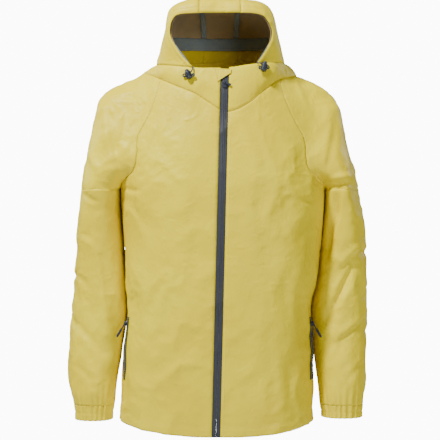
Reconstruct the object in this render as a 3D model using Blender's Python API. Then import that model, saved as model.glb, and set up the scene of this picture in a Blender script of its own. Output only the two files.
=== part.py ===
# Hooded waterproof jacket, filled out as worn, arms down. Metres, +Z up, front towards -Y.
# The origin is the middle of the neck at shoulder height. +X is the wearer's left.
# Every cloth piece is a thin wall whose outer points lie on one smooth garment form.

import math

import bmesh
import bpy
import numpy as np
from mathutils import Matrix, Vector

# ---------------------------------------------------------------- driving dimensions
CLOTH = 0.0013  # wall of the shell
LINING = 0.0010  # wall of the mesh lining, band and tapes
SEAM = 0.00036  # width of the gap left between two sewn pieces
LIE = 0.00035  # gap under a piece that lies on another
ZIP_HALF = 0.0086  # half width of the front opening that the zip fills
ZIP_TAPE = 0.0012
UNDERARM = -0.250  # height of the armhole's lowest point
ARM_PIVOT_INSET = 0.090  # the shoulder rings turn about a line this far inside the side
SLEEVE_POWER = 2.3
BLEND = 0.060  # softness of the join between body and sleeve above the underarm
BLEND_RISE = 0.090
ARM_CLEARANCE = 0.0012  # between a hanging sleeve and the body's side
CUFF_SEAM = -0.6900
CUFF_END = {-1: -0.7215, 1: -0.7165}
CUFF_WAVES = 26
CUFF_WAVE_DEPTH = 0.0016
CENTRE_SEAM = 0.042  # hood centre panel, half width at the brim
CENTRE_SEAM_NAPE = 0.036
HOOD_ORIGIN = (0.0, 0.020, 0.045)
DOME_START = 0.075
DOME_TOP = 0.1410
DOME_POWER_FRONT = 3.2
DOME_POWER_BACK = 2.2
LINING_INSET = CLOTH + 0.0036
TAPE_INSET = LINING_INSET + LINING + 0.0016
TAPE_HALF = 0.0055
CORD_RADIUS = 0.0014
FINE = 1e-9
FIRST_STRIDE = 0.0003
SEAM_RISE = 0.0040  # the armhole seam lies on the body alone up to this far above the underarm


def table(names, rows):
    columns = zip(*rows)
    return {name: np.array(column, float) for name, column in zip(names.split(), columns)}


# Body sections: half widths to the wearer's right (-X) and left (+X), depths to front and back.
BODY = table("z right left front back power", [
    (-0.745, 0.2050, 0.1905, 0.1360, 0.1270, 2.6),
    (-0.650, 0.2040, 0.1935, 0.1390, 0.1290, 2.6),
    (-0.585, 0.2015, 0.1925, 0.1410, 0.1310, 2.6),
    (-0.500, 0.1910, 0.1885, 0.1425, 0.1320, 2.6),
    (-0.420, 0.1950, 0.2020, 0.1425, 0.1330, 2.6),
    (-0.350, 0.1990, 0.2100, 0.1420, 0.1340, 2.5),
    (-0.250, 0.2050, 0.2165, 0.1390, 0.1350, 2.5),
    (-0.200, 0.2000, 0.2100, 0.1345, 0.1340, 2.5),
    (-0.150, 0.1890, 0.1970, 0.1265, 0.1310, 2.45),
    (-0.095, 0.1700, 0.1750, 0.1130, 0.1240, 2.35),
    (-0.060, 0.1550, 0.1580, 0.1060, 0.1180, 2.3),
    (-0.030, 0.1400, 0.1420, 0.0990, 0.1120, 2.25),
    (0.000, 0.1280, 0.1290, 0.0920, 0.1060, 2.2),
    (0.030, 0.1180, 0.1190, 0.0850, 0.1000, 2.2),
])

# Hanging sleeve: outer edges seen from the front, free inner edges, middle and half depth.
SLEEVE = table("z right_out left_out right_in left_in middle depth", [
    (-0.7250, 0.2970, 0.2910, 0.2225, 0.2105, -0.022, 0.0440),
    (-0.7050, 0.2980, 0.2925, 0.2205, 0.2090, -0.022, 0.0450),
    (-0.6850, 0.3010, 0.2940, 0.2175, 0.2060, -0.020, 0.0490),
    (-0.6600, 0.3065, 0.2960, 0.2140, 0.2035, -0.015, 0.0560),
    (-0.6200, 0.3095, 0.2995, 0.2085, 0.1975, -0.005, 0.0620),
    (-0.5700, 0.3095, 0.3030, 0.1950, 0.1900, 0.006, 0.0660),
    (-0.5000, 0.3060, 0.3065, 0.1800, 0.1800, 0.016, 0.0700),
    (-0.4200, 0.3025, 0.3045, 0.1800, 0.1800, 0.020, 0.0740),
    (-0.3400, 0.2985, 0.3010, 0.1800, 0.1800, 0.016, 0.0800),
    (-0.2500, 0.2870, 0.2850, 0.1800, 0.1800, 0.004, 0.0860),
])

# Shoulder rings, by the turn about the pivot line: reach of the outline, middle and half depth.
SHOULDER = table("turn right_out left_out middle depth", [
    (0, 0.1720, 0.1585, 0.004, 0.0860),
    (11, 0.1710, 0.1557, 0.005, 0.0890),
    (22, 0.1740, 0.1580, 0.007, 0.0920),
    (33, 0.1860, 0.1650, 0.009, 0.0910),
    (42, 0.2000, 0.1755, 0.010, 0.0880),
    (50, 0.2185, 0.1930, 0.011, 0.0830),
    (56, 0.2322, 0.2105, 0.012, 0.0770),
    (62, 0.2378, 0.2235, 0.012, 0.0720),
    (72, 0.2402, 0.2305, 0.011, 0.0660),
    (84, 0.2468, 0.2345, 0.010, 0.0610),
    (95, 0.2620, 0.2530, 0.010, 0.0580),
])

# Raglan seam: angle ahead of and behind the side, by height.
RAGLAN = table("z front back", [
    (-0.2500, 0.0, 0.0),
    (-0.2470, 8.0, 8.0),
    (-0.2350, 13.0, 13.0),
    (-0.2100, 18.0, 18.0),
    (-0.1800, 21.5, 21.0),
    (-0.1450, 25.5, 24.0),
    (-0.1040, 29.0, 28.0),
    (-0.0600, 30.0, 29.5),
    (-0.0250, 27.0, 28.0),
    (0.0000, 26.0, 27.0),
])

# Neck seam heights, by angle from the side: 90 is the front middle, -90 the back middle.
NECK = table("turn right left", [
    (-90, -0.0140, -0.0140),
    (-60, -0.0100, -0.0100),
    (-27, -0.0040, -0.0070),
    (0, -0.0050, -0.0125),
    (12, -0.0130, -0.0180),
    (27, -0.0264, -0.0270),
    (45, -0.0420, -0.0500),
    (63, -0.0570, -0.0800),
    (76, -0.0730, -0.0930),
    (90, -0.0920, -0.0970),
])

# Top line of the stand collar, where the hood is sewn on.
COLLAR_TOP = table("turn right left", [
    (-90, 0.0300, 0.0300),
    (-45, 0.0220, 0.0230),
    (0, 0.0100, 0.0130),
    (30, 0.0030, 0.0090),
    (51, -0.0025, 0.0040),
    (61, -0.0045, 0.0010),
    (75, -0.0055, -0.0035),
    (90, -0.0055, -0.0055),
])

HOOD = table("z right left front back front_power back_power", [
    (-0.020, 0.1420, 0.1420, 0.1000, 0.1060, 2.3, 2.3),
    (0.010, 0.1320, 0.1350, 0.0990, 0.1160, 2.8, 2.3),
    (0.034, 0.1230, 0.1290, 0.0975, 0.1300, 3.7, 2.3),
    (0.062, 0.1165, 0.1206, 0.0965, 0.1430, 5.0, 2.4),
    (0.083, 0.1130, 0.1150, 0.0960, 0.1480, 5.5, 2.4),
    (0.104, 0.1105, 0.1120, 0.0960, 0.1470, 5.0, 2.4),
    (0.150, 0.1100, 0.1100, 0.0960, 0.1450, 4.0, 2.4),
])

# Face opening from the centre seam at the brim down to its bottom corner.
OPENING = table("z_right right z_left left", [
    (0.1055, 0.0420, 0.1060, 0.0420),
    (0.1050, 0.0580, 0.1060, 0.0560),
    (0.1045, 0.0740, 0.1050, 0.0700),
    (0.1020, 0.0880, 0.1020, 0.0850),
    (0.0940, 0.0960, 0.0930, 0.0950),
    (0.0820, 0.1005, 0.0810, 0.1020),
    (0.0690, 0.1018, 0.0690, 0.1060),
    (0.0540, 0.0982, 0.0560, 0.1045),
    (0.0390, 0.0892, 0.0400, 0.0975),
    (0.0210, 0.0778, 0.0250, 0.0890),
    (0.0070, 0.0655, 0.0130, 0.0810),
    (-0.0045, 0.0535, 0.0040, 0.0745),
])

# Where the hood's front corner meets the collar, as angles from the side.
CORNER_TURN = {-1: 61.0, 1: 51.0}
JOIN_TURN = 26.5  # front and back raglan seams meet the neck seam here
NAPE_TURN = -72.0  # centre seam meets the collar here

# Largest folds, seen from the front (face -1) or from behind (face 1): ends, width, height.
FOLDS = table("face x1 z1 x2 z2 width height", [
    (-1, -0.243, -0.070, -0.226, -0.140, 0.022, 0.0045),
    (-1, -0.226, -0.140, -0.207, -0.235, 0.020, 0.0040),
    (-1, 0.241, -0.080, 0.232, -0.180, 0.020, 0.0040),
    (-1, 0.276, -0.245, 0.236, -0.300, 0.018, -0.0040),
    (-1, 0.238, -0.250, 0.216, -0.385, 0.016, -0.0060),
    (-1, 0.272, -0.410, 0.220, -0.515, 0.016, -0.0040),
    (-1, 0.296, -0.380, 0.246, -0.420, 0.015, -0.0035),
    (-1, 0.300, -0.520, 0.240, -0.570, 0.015, -0.0035),
    (-1, -0.280, -0.265, -0.250, -0.290, 0.016, -0.0030),
    (-1, -0.262, -0.360, -0.236, -0.545, 0.016, 0.0035),
    (-1, -0.300, -0.520, -0.235, -0.580, 0.016, -0.0030),
    (1, -0.275, -0.280, -0.225, -0.360, 0.018, -0.0045),
    (1, -0.290, -0.440, -0.235, -0.500, 0.016, -0.0040),
    (1, 0.280, -0.300, 0.230, -0.370, 0.018, -0.0045),
    (1, 0.290, -0.460, 0.240, -0.530, 0.016, -0.0040),
    (1, -0.150, -0.180, -0.080, -0.420, 0.030, -0.0050),
    (1, 0.140, -0.200, 0.090, -0.440, 0.030, -0.0050),
])


def read(columns, key, name, at):
    """Value of a column, by a smooth curve through the rows that never overshoots them."""
    keys = columns[key]
    values = columns[name]
    steps = np.diff(keys)
    slopes = np.diff(values) / steps
    product = slopes[:-1] * slopes[1:]
    total = slopes[:-1] + slopes[1:]
    inner = np.where(product > 0, 2 * product / np.where(np.abs(total) > FINE, total, 1), 0)
    tangents = np.concatenate([slopes[:1], inner, slopes[-1:]])
    at = np.clip(np.asarray(at, float), keys[0], keys[-1])
    row = np.clip(np.searchsorted(keys, at, side="right") - 1, 0, len(steps) - 1)
    step = steps[row]
    t = (at - keys[row]) / step
    start = values[row] * (1 + 2 * t) * (1 - t) ** 2 + tangents[row] * step * t * (1 - t) ** 2
    end = values[row + 1] * t * t * (3 - 2 * t) - tangents[row + 1] * step * t * t * (1 - t)
    return start + end


def ease(value):
    value = np.clip(value, 0, 1)
    return value * value * (3 - 2 * value)


def unit(vectors):
    length = np.linalg.norm(vectors, axis=-1, keepdims=True)
    return vectors / np.maximum(length, FINE)


def oval_gap(along, across, half_along, half_across, power):
    """Radial distance from a point to an oval; negative inside."""
    reach = np.hypot(along, across) + 1e-7
    scale = (np.abs(along / half_along) ** power + np.abs(across / half_across) ** power)
    return reach - reach / np.maximum(scale ** (1 / power), 1e-6)


def side_name(side):
    return "left" if side > 0 else "right"


def body_half(z, side):
    return read(BODY, "z", side_name(side), z)


# ---------------------------------------------------------------- garment form
def torso_gap(points):
    x, y, z = points[..., 0], points[..., 1], points[..., 2]
    half = np.where(x > 0, read(BODY, "z", "left", z), read(BODY, "z", "right", z))
    depth = np.where(y < 0, read(BODY, "z", "front", z), read(BODY, "z", "back", z))
    return oval_gap(x, y, half, depth, read(BODY, "z", "power", z))


def pivot_x(side):
    return float(body_half(UNDERARM, side)) - ARM_PIVOT_INSET


def contact(side):
    """Inner edge of a hanging sleeve that just clears the body, by height."""
    z = np.linspace(-0.745, UNDERARM, 80)
    outer = read(SLEEVE, "z", side_name(side) + "_out", z)
    middle = read(SLEEVE, "z", "middle", z)
    depth = read(SLEEVE, "z", "depth", z)
    y = np.linspace(-0.085, 0.105, 60)[:, None]
    half = body_half(z, side)
    body_depth = np.where(y < 0, read(BODY, "z", "front", z), read(BODY, "z", "back", z))
    power = read(BODY, "z", "power", z)
    body = half * (1 - np.abs(y / body_depth) ** power) ** (1 / power)
    share = ease((UNDERARM - z) / 0.030)
    clear = ARM_CLEARANCE * share + SEAM * (1 - share)
    inner = half + clear
    for _ in range(6):
        bulge = np.maximum(1 - np.abs((y - middle) / depth) ** SLEEVE_POWER, 0) ** (1 / SLEEVE_POWER)
        edge = (inner + outer) / 2 - (outer - inner) / 2 * bulge
        inner = inner - (np.min(edge - body, axis=0) - clear)
    return z, inner


def sleeve_section(z, side):
    """Centre, half width, middle and half depth of the hanging sleeve at a height."""
    outer = read(SLEEVE, "z", side_name(side) + "_out", z)
    free = read(SLEEVE, "z", side_name(side) + "_in", z)
    close = np.interp(z, *CONTACT[side])
    soft = 0.004
    inner = 0.5 * (free + close + np.sqrt((free - close) ** 2 + soft ** 2 * ease((UNDERARM - z) / 0.2)))
    middle = read(SLEEVE, "z", "middle", z)
    depth = read(SLEEVE, "z", "depth", z)
    return (inner + outer) / 2, (outer - inner) / 2, middle, depth


CONTACT = {side: contact(side) for side in (-1, 1)}


def shoulder_section(turn, side):
    """The same for a shoulder ring; turn in radians about the pivot line."""
    degrees = np.degrees(turn)
    outer = read(SHOULDER, "turn", side_name(side) + "_out", degrees)
    inner = (CONTACT[side][1][-1] - pivot_x(side)) * (1 - ease(degrees / 60))
    middle = read(SHOULDER, "turn", "middle", degrees)
    depth = read(SHOULDER, "turn", "depth", degrees)
    return (inner + outer) / 2, (outer - inner) / 2, middle, depth


def sleeve_gap(points, side):
    x, y, z = points[..., 0] * side, points[..., 1], points[..., 2]
    centre, half, middle, depth = sleeve_section(z, side)
    hanging = oval_gap(x - centre, y - middle, half, depth, SLEEVE_POWER)
    away = x - pivot_x(side)
    rise = np.maximum(z - UNDERARM, 0)
    turn = np.arctan2(rise, away)
    reach = np.hypot(rise, away)
    centre, half, middle, depth = shoulder_section(turn, side)
    raised = oval_gap(reach - centre, y - middle, half, depth, SLEEVE_POWER)
    raised = raised + reach * np.maximum(turn - math.radians(100), 0)
    return np.where(z < UNDERARM, hanging, raised)


def body_gap(points):
    torso = torso_gap(points)
    sleeve = np.where(points[..., 0] > 0, sleeve_gap(points, 1), sleeve_gap(points, -1))
    softness = BLEND * ease((points[..., 2] - UNDERARM) / BLEND_RISE) + FINE
    share = np.maximum(softness - np.abs(torso - sleeve), 0) / softness
    return np.minimum(torso, sleeve) - share * share * softness / 4


def hood_gap(points):
    x, y, z = points[..., 0], points[..., 1], points[..., 2]
    half = np.where(x > 0, read(HOOD, "z", "left", z), read(HOOD, "z", "right", z))
    depth = np.where(y < 0, read(HOOD, "z", "front", z), read(HOOD, "z", "back", z))
    power = np.where(y < 0, read(HOOD, "z", "front_power", z), read(HOOD, "z", "back_power", z))
    dome = np.maximum(z - DOME_START, 0) / (DOME_TOP - DOME_START)
    dome_power = DOME_POWER_FRONT + (DOME_POWER_BACK - DOME_POWER_FRONT) * ease(y / depth)
    level = np.abs(x / half) ** power + np.abs(y / depth) ** power + dome ** dome_power
    return 0.1 * (level ** (1 / power) - 1)


def march(gap, origins, directions, reach=0.45, steps=90):
    """First place along each ray where the form ends."""
    shape = origins.shape[:-1]
    near = np.zeros(shape)
    far = np.full(shape, reach)
    found = np.zeros(shape, bool)
    for distance in np.linspace(reach / steps, reach, steps):
        outside = gap(origins + directions * distance) > 0
        new = outside & ~found
        far = np.where(new, distance, far)
        near = np.where(new, distance - reach / steps, near)
        found |= outside
    for _ in range(22):
        middle = (near + far) / 2
        outside = gap(origins + directions * middle[..., None]) > 0
        far = np.where(outside, middle, far)
        near = np.where(outside, near, middle)
    return origins + directions * far[..., None]


def march_on(gap, core, origins, directions, reach):
    """Where each ray leaves a form that holds a simpler core, in steps that grow from the core's face."""
    start = np.linalg.norm(march(core, origins, directions, reach, 60) - origins, axis=-1)
    near = start.copy()
    far = start + reach
    found = np.zeros(start.shape, bool)
    distance = start
    stride = FIRST_STRIDE
    while stride < reach / 10:
        distance = distance + stride
        outside = gap(origins + directions * distance[..., None]) > 0
        new = outside & ~found
        far = np.where(new, distance, far)
        near = np.where(new, distance - stride, near)
        found |= outside
        stride *= 1.13
    for _ in range(20):
        middle = (near + far) / 2
        outside = gap(origins + directions * middle[..., None]) > 0
        far = np.where(outside, middle, far)
        near = np.where(outside, near, middle)
    return origins + directions * far[..., None]


def outward(gap, points, step=0.0008):
    """Unit normals of a form at points on it."""
    slopes = []
    for axis in np.eye(3):
        slopes.append(gap(points + axis * step) - gap(points - axis * step))
    return unit(np.stack(slopes, axis=-1))


def on_body(turn, z):
    """Point on the form at an angle (degrees, 0 at +X, 90 in front) and height."""
    turn, z = np.broadcast_arrays(np.radians(turn), z)
    origins = np.stack([np.zeros_like(z), np.zeros_like(z), z], axis=-1)
    directions = np.stack([np.cos(turn), -np.sin(turn), np.zeros_like(z)], axis=-1)
    alone = z < UNDERARM + SEAM_RISE
    return march_on(lambda p: np.where(alone, torso_gap(p), body_gap(p)), torso_gap, origins, directions, 0.35)


def on_hood(turn, z):
    turn, z = np.broadcast_arrays(np.radians(turn), z)
    origins = np.stack([np.zeros_like(z), np.zeros_like(z), z], axis=-1)
    directions = np.stack([np.cos(turn), -np.sin(turn), np.zeros_like(z)], axis=-1)
    return march(hood_gap, origins, directions, reach=0.2, steps=40)


def world_turn(side, turn):
    """Angle from the side, ahead positive, as an angle round the body."""
    turn = np.asarray(turn, float)
    return turn if side > 0 else 180 - turn


def coons(bottom, top, left, right):
    """Grid between four edges; rows run from bottom to top, columns from left to right."""
    u = np.linspace(0, 1, len(bottom))[None, :, None]
    v = np.linspace(0, 1, len(left))[:, None, None]
    across = (1 - v) * bottom[None] + v * top[None]
    along = (1 - u) * left[:, None] + u * right[:, None]
    corners = ((1 - v) * ((1 - u) * bottom[0] + u * bottom[-1])
               + v * ((1 - u) * top[0] + u * top[-1]))
    return across + along - corners


def relief(points, normals):
    """Height of the largest folds at points of the body and sleeves."""
    height = np.zeros(points.shape[:-1])
    for start, end, face, width, rise in FOLD_LINES:
        line = end - start
        t = np.clip(((points - start) @ line) / (line @ line), 0, 1)
        away = np.linalg.norm(points - (start + t[..., None] * line), axis=-1)
        facing = ease(0.5 + 2 * face * normals[..., 1])
        height += rise * np.exp(-((away / width) ** 2)) * facing
    return height


def fold_lines():
    """Fold ends put on the form by looking along Y."""
    lines = []
    for row in zip(*FOLDS.values()):
        face, x1, z1, x2, z2, width, rise = row
        ends = np.array([[x1, face * 0.3, z1], [x2, face * 0.3, z2]])
        inward = np.array([[0, -face, 0], [0, -face, 0]], float)
        hits = march(lambda p: -body_gap(p), ends, inward, reach=0.4, steps=200)
        lines.append((hits[0], hits[1], face, width, rise))
    return lines


FOLD_LINES = fold_lines()


# ---------------------------------------------------------------- walls
def material(name, colour, roughness, metallic=0.0):
    made = bpy.data.materials.new(name)
    made.use_nodes = True
    shader = made.node_tree.nodes["Principled BSDF"]
    shader.inputs["Base Color"].default_value = (*colour, 1)
    shader.inputs["Roughness"].default_value = roughness
    shader.inputs["Metallic"].default_value = metallic
    return made


def add_object(name, vertices, faces, finish):
    mesh = bpy.data.meshes.new(name)
    mesh.from_pydata([tuple(float(n) for n in v) for v in vertices], [], faces)
    mesh.validate()
    split = bmesh.new()
    split.from_mesh(mesh)
    bmesh.ops.triangulate(split, faces=split.faces, quad_method="SHORT_EDGE", ngon_method="BEAUTY")
    split.to_mesh(mesh)
    split.free()
    made = bpy.data.objects.new(name, mesh)
    bpy.context.collection.objects.link(made)
    mesh.materials.append(finish)
    mesh.shade_smooth()
    mesh.set_sharp_from_angle(angle=math.radians(40))
    return made


def trim(grid, edges, amount=SEAM / 2):
    """Draws a grid's sewn edges in by half a seam gap."""
    grid = grid.copy()
    if "b" in edges:
        grid[0] += unit(grid[1] - grid[0]) * amount
    if "t" in edges:
        grid[-1] += unit(grid[-2] - grid[-1]) * amount
    if "l" in edges:
        grid[:, 0] += unit(grid[:, 1] - grid[:, 0]) * amount
    if "r" in edges:
        grid[:, -1] += unit(grid[:, -2] - grid[:, -1]) * amount
    return grid


def wall(name, grid, normals, thickness, finish):
    """Closed wall between a grid of outer points and the same grid moved in."""
    rows, columns = grid.shape[:2]
    inner = grid - normals * thickness
    count = rows * columns
    vertices = np.concatenate([grid.reshape(-1, 3), inner.reshape(-1, 3)])
    across = grid[:-1, 1:] - grid[:-1, :-1]
    along = grid[1:, :-1] - grid[:-1, :-1]
    turned = np.sum(np.cross(across, along) * normals[:-1, :-1]) < 0
    faces = []
    for i in range(rows - 1):
        for j in range(columns - 1):
            a = i * columns + j
            b, c, d = a + 1, a + columns + 1, a + columns
            faces.append((a, b, c, d))
            faces.append((count + d, count + c, count + b, count + a))
    rim = [j for j in range(columns)]
    rim += [i * columns + columns - 1 for i in range(1, rows)]
    rim += [(rows - 1) * columns + j for j in range(columns - 2, -1, -1)]
    rim += [i * columns for i in range(rows - 2, 0, -1)]
    for a, b in zip(rim, rim[1:] + rim[:1]):
        faces.append((b, a, count + a, count + b))
    if turned:
        faces = [tuple(reversed(face)) for face in faces]
    return add_object(name, vertices, faces, finish)


# ---------------------------------------------------------------- neck and hood lines
FRONT_STEPS = 4  # columns from the zip to the opening's corner
CHEST_STEPS = 6  # from there to the front raglan seam
SLEEVE_STEPS = 16
YOKE_STEPS = 5  # from the back raglan seam to the hood's centre seam
NAPE_STEPS = 4  # between the two centre seams, across the back
SIDE_ROWS = 8
ARM_ROWS = 12
SEAM_SAMPLES = 30
EDGE_THIN = 0.5  # the walls thin out towards the armhole seam
THROUGH = 0.045  # a ray that gets this far beyond the sleeve's own form has passed through the body
# A wider seam gap where the cloth folds back, row by row from the underarm.
FOLD_TRIM = (0.0020, 0.0034, 0.0036, 0.0032, 0.0024, 0.0014, 0.0008, 0.0006, 0.0004)


def zip_line(z):
    """Middle of the front zip, which hangs a little off upright."""
    return 0.0094 + (np.asarray(z, float) + 0.030) * 0.0244


def zip_turn(side, z, depth):
    """Angle from the side of the zip's edge."""
    return np.degrees(np.arctan2(depth, zip_line(z) * side + ZIP_HALF))


def neck_height(side, turn):
    return read(NECK, "turn", side_name(side), turn)


def front_depth(z):
    return read(BODY, "z", "front", z)


def neck_turns(side):
    """Angles of the neck seam's columns, from the zip to the back middle."""
    start = float(zip_turn(side, neck_height(side, 88.0), front_depth(neck_height(side, 88.0))))
    stops = [start, CORNER_TURN[side], JOIN_TURN, -JOIN_TURN, NAPE_TURN, -90.0]
    counts = [FRONT_STEPS, CHEST_STEPS, SLEEVE_STEPS, YOKE_STEPS, NAPE_STEPS // 2]
    turns = [np.linspace(a, b, n, endpoint=False) for a, b, n in zip(stops, stops[1:], counts)]
    return np.concatenate([*turns, [-90.0]])


def neck_line(side):
    """Seam points, collar top points and the directions that the walls share along them."""
    turns = neck_turns(side)
    seam = on_body(world_turn(side, turns), neck_height(side, turns))
    top_z = float(read(COLLAR_TOP, "turn", side_name(side), 90.0))
    start = float(zip_turn(side, top_z, read(HOOD, "z", "front", top_z)))
    top_turns = turns.copy()
    top_turns[:FRONT_STEPS + 1] = np.linspace(start, CORNER_TURN[side], FRONT_STEPS + 1)
    top = on_hood(world_turn(side, top_turns), read(COLLAR_TOP, "turn", side_name(side), top_turns))
    up = unit(top - seam)
    along = unit(np.gradient(seam, axis=0))
    collar = unit(np.cross(along, up)) * -side
    flip = np.sign(np.sum(collar * seam * [1, 1, 0], axis=-1, keepdims=True))
    collar = collar * flip
    seam_normals = unit(collar + outward(body_gap, seam))
    top_normals = unit(collar + outward(hood_gap, top))
    return {"turns": turns, "seam": seam, "top": top, "collar": collar,
            "seam_normals": seam_normals, "top_normals": top_normals}


NECK_LINES = {side: neck_line(side) for side in (-1, 1)}
CORNER = FRONT_STEPS
JOIN_FRONT = FRONT_STEPS + CHEST_STEPS
JOIN_BACK = JOIN_FRONT + SLEEVE_STEPS
NAPE = JOIN_BACK + YOKE_STEPS


# ---------------------------------------------------------------- raglan seams
def valley(side, facing, z):
    """Angle beyond which a level ray meets the body and not the sleeve."""
    turns = np.linspace(1, 50, 99)
    points = on_body(world_turn(side, turns * facing), np.full_like(turns, z))
    sleeve = sleeve_gap(points, side)
    ahead = torso_gap(points) < sleeve
    misses = np.nonzero(~ahead)[0]
    return turns[misses[-1]] + 1.0 if len(misses) else 0.0


def raglan(side, facing):
    """Seam from the underarm to the neck, in even steps: angles from the side, heights, points."""
    top = float(neck_height(side, facing * JOIN_TURN))
    z = UNDERARM + (top - UNDERARM) * np.linspace(0, 1, SEAM_SAMPLES) ** 2
    turns = read(RAGLAN, "z", "front" if facing > 0 else "back", z)
    turns[-1] = JOIN_TURN
    least = np.array([0.0, *(valley(side, facing, level) + 2 for level in z[1:-1]), 0.0])
    turns = np.maximum(turns, least)
    for _ in range(3):
        turns[1:-1] = 0.25 * turns[:-2] + 0.5 * turns[1:-1] + 0.25 * turns[2:]
    turns = np.maximum(turns, least) * facing
    points = on_body(world_turn(side, turns), z)
    lengths = np.concatenate([[0], np.cumsum(np.linalg.norm(np.diff(points, axis=0), axis=-1))])
    even = np.linspace(0, 1, ARM_ROWS + 1) ** 1.2 * lengths[-1]
    turns = np.interp(even, lengths, turns)
    z = np.interp(even, lengths, z)
    points = on_body(world_turn(side, turns), z)
    return turns, z, points


RAGLANS = {(side, facing): raglan(side, facing) for side in (-1, 1) for facing in (-1, 1)}


def hem_height(turn):
    """The hem is level in front and behind and rises a little at the sides."""
    return -0.7440 + 0.0220 * np.cos(np.radians(turn)) ** 4


def dressed(points):
    """Form normals, and the points with the largest folds raised."""
    normals = outward(body_gap, points)
    return points + normals * relief(points, normals)[..., None], normals


def armhole_out(side, facing):
    """Direction both walls share along the seam: half way between the faces that meet there."""
    turns, z, points = RAGLANS[side, facing]
    panel = on_body(world_turn(side, turns + 6 * facing), z)
    places = sleeve_angles(points, side)
    sleeve = on_shoulder(places[:, 0], places[:, 1] - 0.35 * facing, side)
    both = outward(body_gap, panel) + outward(body_gap, sleeve)
    downward = np.array([0, 0, -0.3]) * ease(1 - (z[:, None] - UNDERARM) / 0.03)
    return unit(both + downward) * EDGE_THIN


def make_front(side, finish):
    turns, z, _ = RAGLANS[side, 1]
    line = NECK_LINES[side]
    side_z = np.linspace(float(hem_height(0)), UNDERARM, SIDE_ROWS, endpoint=False)
    outer = np.stack([np.concatenate([np.zeros(SIDE_ROWS), turns]), np.concatenate([side_z, z])], -1)
    waist = UNDERARM - 0.040
    neck = float(line["seam"][0, 2])
    low = np.linspace(float(hem_height(90)), waist, SIDE_ROWS, endpoint=False)
    high = np.linspace(waist, neck, ARM_ROWS + 1)
    middle_z = np.concatenate([low, high])
    inner = np.stack([zip_turn(side, middle_z, front_depth(middle_z)), middle_z], -1)
    top = np.stack([line["turns"][:JOIN_FRONT + 1], line["seam"][:JOIN_FRONT + 1, 2]], -1)
    inner[-1] = top[0]
    hem_turns = inner[0, 0] * (1 - np.linspace(0, 1, JOIN_FRONT + 1))
    hem = np.stack([hem_turns, hem_height(hem_turns)], -1)
    grid = coons(hem, top, inner, outer)
    points = on_body(world_turn(side, grid[..., 0]), grid[..., 1])
    points[-1] = line["seam"][:JOIN_FRONT + 1]
    points, normals = dressed(points)
    normals[SIDE_ROWS + 1:, -1] = armhole_out(side, 1)[1:]
    normals[-1] = line["seam_normals"][:JOIN_FRONT + 1]
    wall("front_" + side_name(side), trim(points, "tr"), normals, CLOTH, finish)
    return points, normals, grid


def make_back(finish):
    edges = {}
    tops = {}
    for side in (-1, 1):
        turns, z, _ = RAGLANS[side, -1]
        side_z = np.linspace(float(hem_height(0)), UNDERARM, SIDE_ROWS, endpoint=False)
        turn = world_turn(side, np.concatenate([np.zeros(SIDE_ROWS), turns]))
        turn = np.where(turn > 180, turn - 360, turn) if side > 0 else turn - 360
        edges[side] = np.stack([turn, np.concatenate([side_z, z])], -1)
        line = NECK_LINES[side]
        turn = world_turn(side, line["turns"][JOIN_BACK:])
        turn = turn if side > 0 else turn - 360
        tops[side] = np.stack([turn, line["seam"][JOIN_BACK:, 2]], -1)
    top = np.concatenate([tops[-1], tops[1][-2::-1]])
    hem_turns = np.linspace(-180, 0, len(top))
    hem = np.stack([hem_turns, hem_height(hem_turns)], -1)
    grid = coons(hem, top, edges[-1], edges[1])
    points = on_body(grid[..., 0], grid[..., 1])
    seam = np.concatenate([NECK_LINES[-1]["seam"][JOIN_BACK:], NECK_LINES[1]["seam"][JOIN_BACK:][-2::-1]])
    shared = np.concatenate([NECK_LINES[-1]["seam_normals"][JOIN_BACK:],
                             NECK_LINES[1]["seam_normals"][JOIN_BACK:][-2::-1]])
    points[-1] = seam
    points, normals = dressed(points)
    normals[SIDE_ROWS + 1:, 0] = armhole_out(-1, -1)[1:]
    normals[SIDE_ROWS + 1:, -1] = armhole_out(1, -1)[1:]
    normals[-1] = shared
    points = trim(points, "tlr")
    return wall("back", points, normals, CLOTH, finish)


# ---------------------------------------------------------------- sleeves and cuffs
def sleeve_angles(points, side):
    """Turn about the pivot line and angle within its ring, ahead positive."""
    away = points[..., 0] * side - pivot_x(side)
    rise = points[..., 2] - UNDERARM
    turn = np.arctan2(np.maximum(rise, 0), away)
    reach = np.hypot(rise, away)
    centre, _, middle, _ = shoulder_section(turn, side)
    return np.stack([turn, np.arctan2(middle - points[..., 1], reach - centre)], -1)


def on_shoulder(turn, angle, side):
    centre, _, middle, _ = shoulder_section(turn, side)
    out = np.stack([np.cos(turn) * side, np.zeros_like(turn), np.sin(turn)], -1)
    pivot = np.array([pivot_x(side) * side, 0, UNDERARM])
    origins = pivot + out * centre[..., None] + np.array([0, 1, 0]) * middle[..., None]
    ahead = np.array([0, -1, 0])
    directions = out * np.cos(angle)[..., None] + ahead * np.sin(angle)[..., None]
    points = march_on(body_gap, lambda p: sleeve_gap(p, side), origins, directions, 0.3)
    alone = march(lambda p: sleeve_gap(p, side), origins, directions, reach=0.3, steps=70)
    through = np.linalg.norm(points - alone, axis=-1) > THROUGH
    points[through] = alone[through]
    return points


def sleeve_ring(z, angle, side, waves=0.0):
    """Point of the hanging sleeve at a height and angle, with gathers of a given depth."""
    centre, half, middle, depth = sleeve_section(z, side)
    scale = (np.abs(np.cos(angle) / half) ** SLEEVE_POWER + np.abs(np.sin(angle) / depth) ** SLEEVE_POWER)
    reach = scale ** (-1 / SLEEVE_POWER) + waves * np.cos(CUFF_WAVES * angle)
    x = side * (centre + reach * np.cos(angle))
    return np.stack([x, middle - reach * np.sin(angle), z + 0 * angle], -1)


def ring_normals(points, side):
    return outward(lambda p: sleeve_gap(p, side), points)


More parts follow.
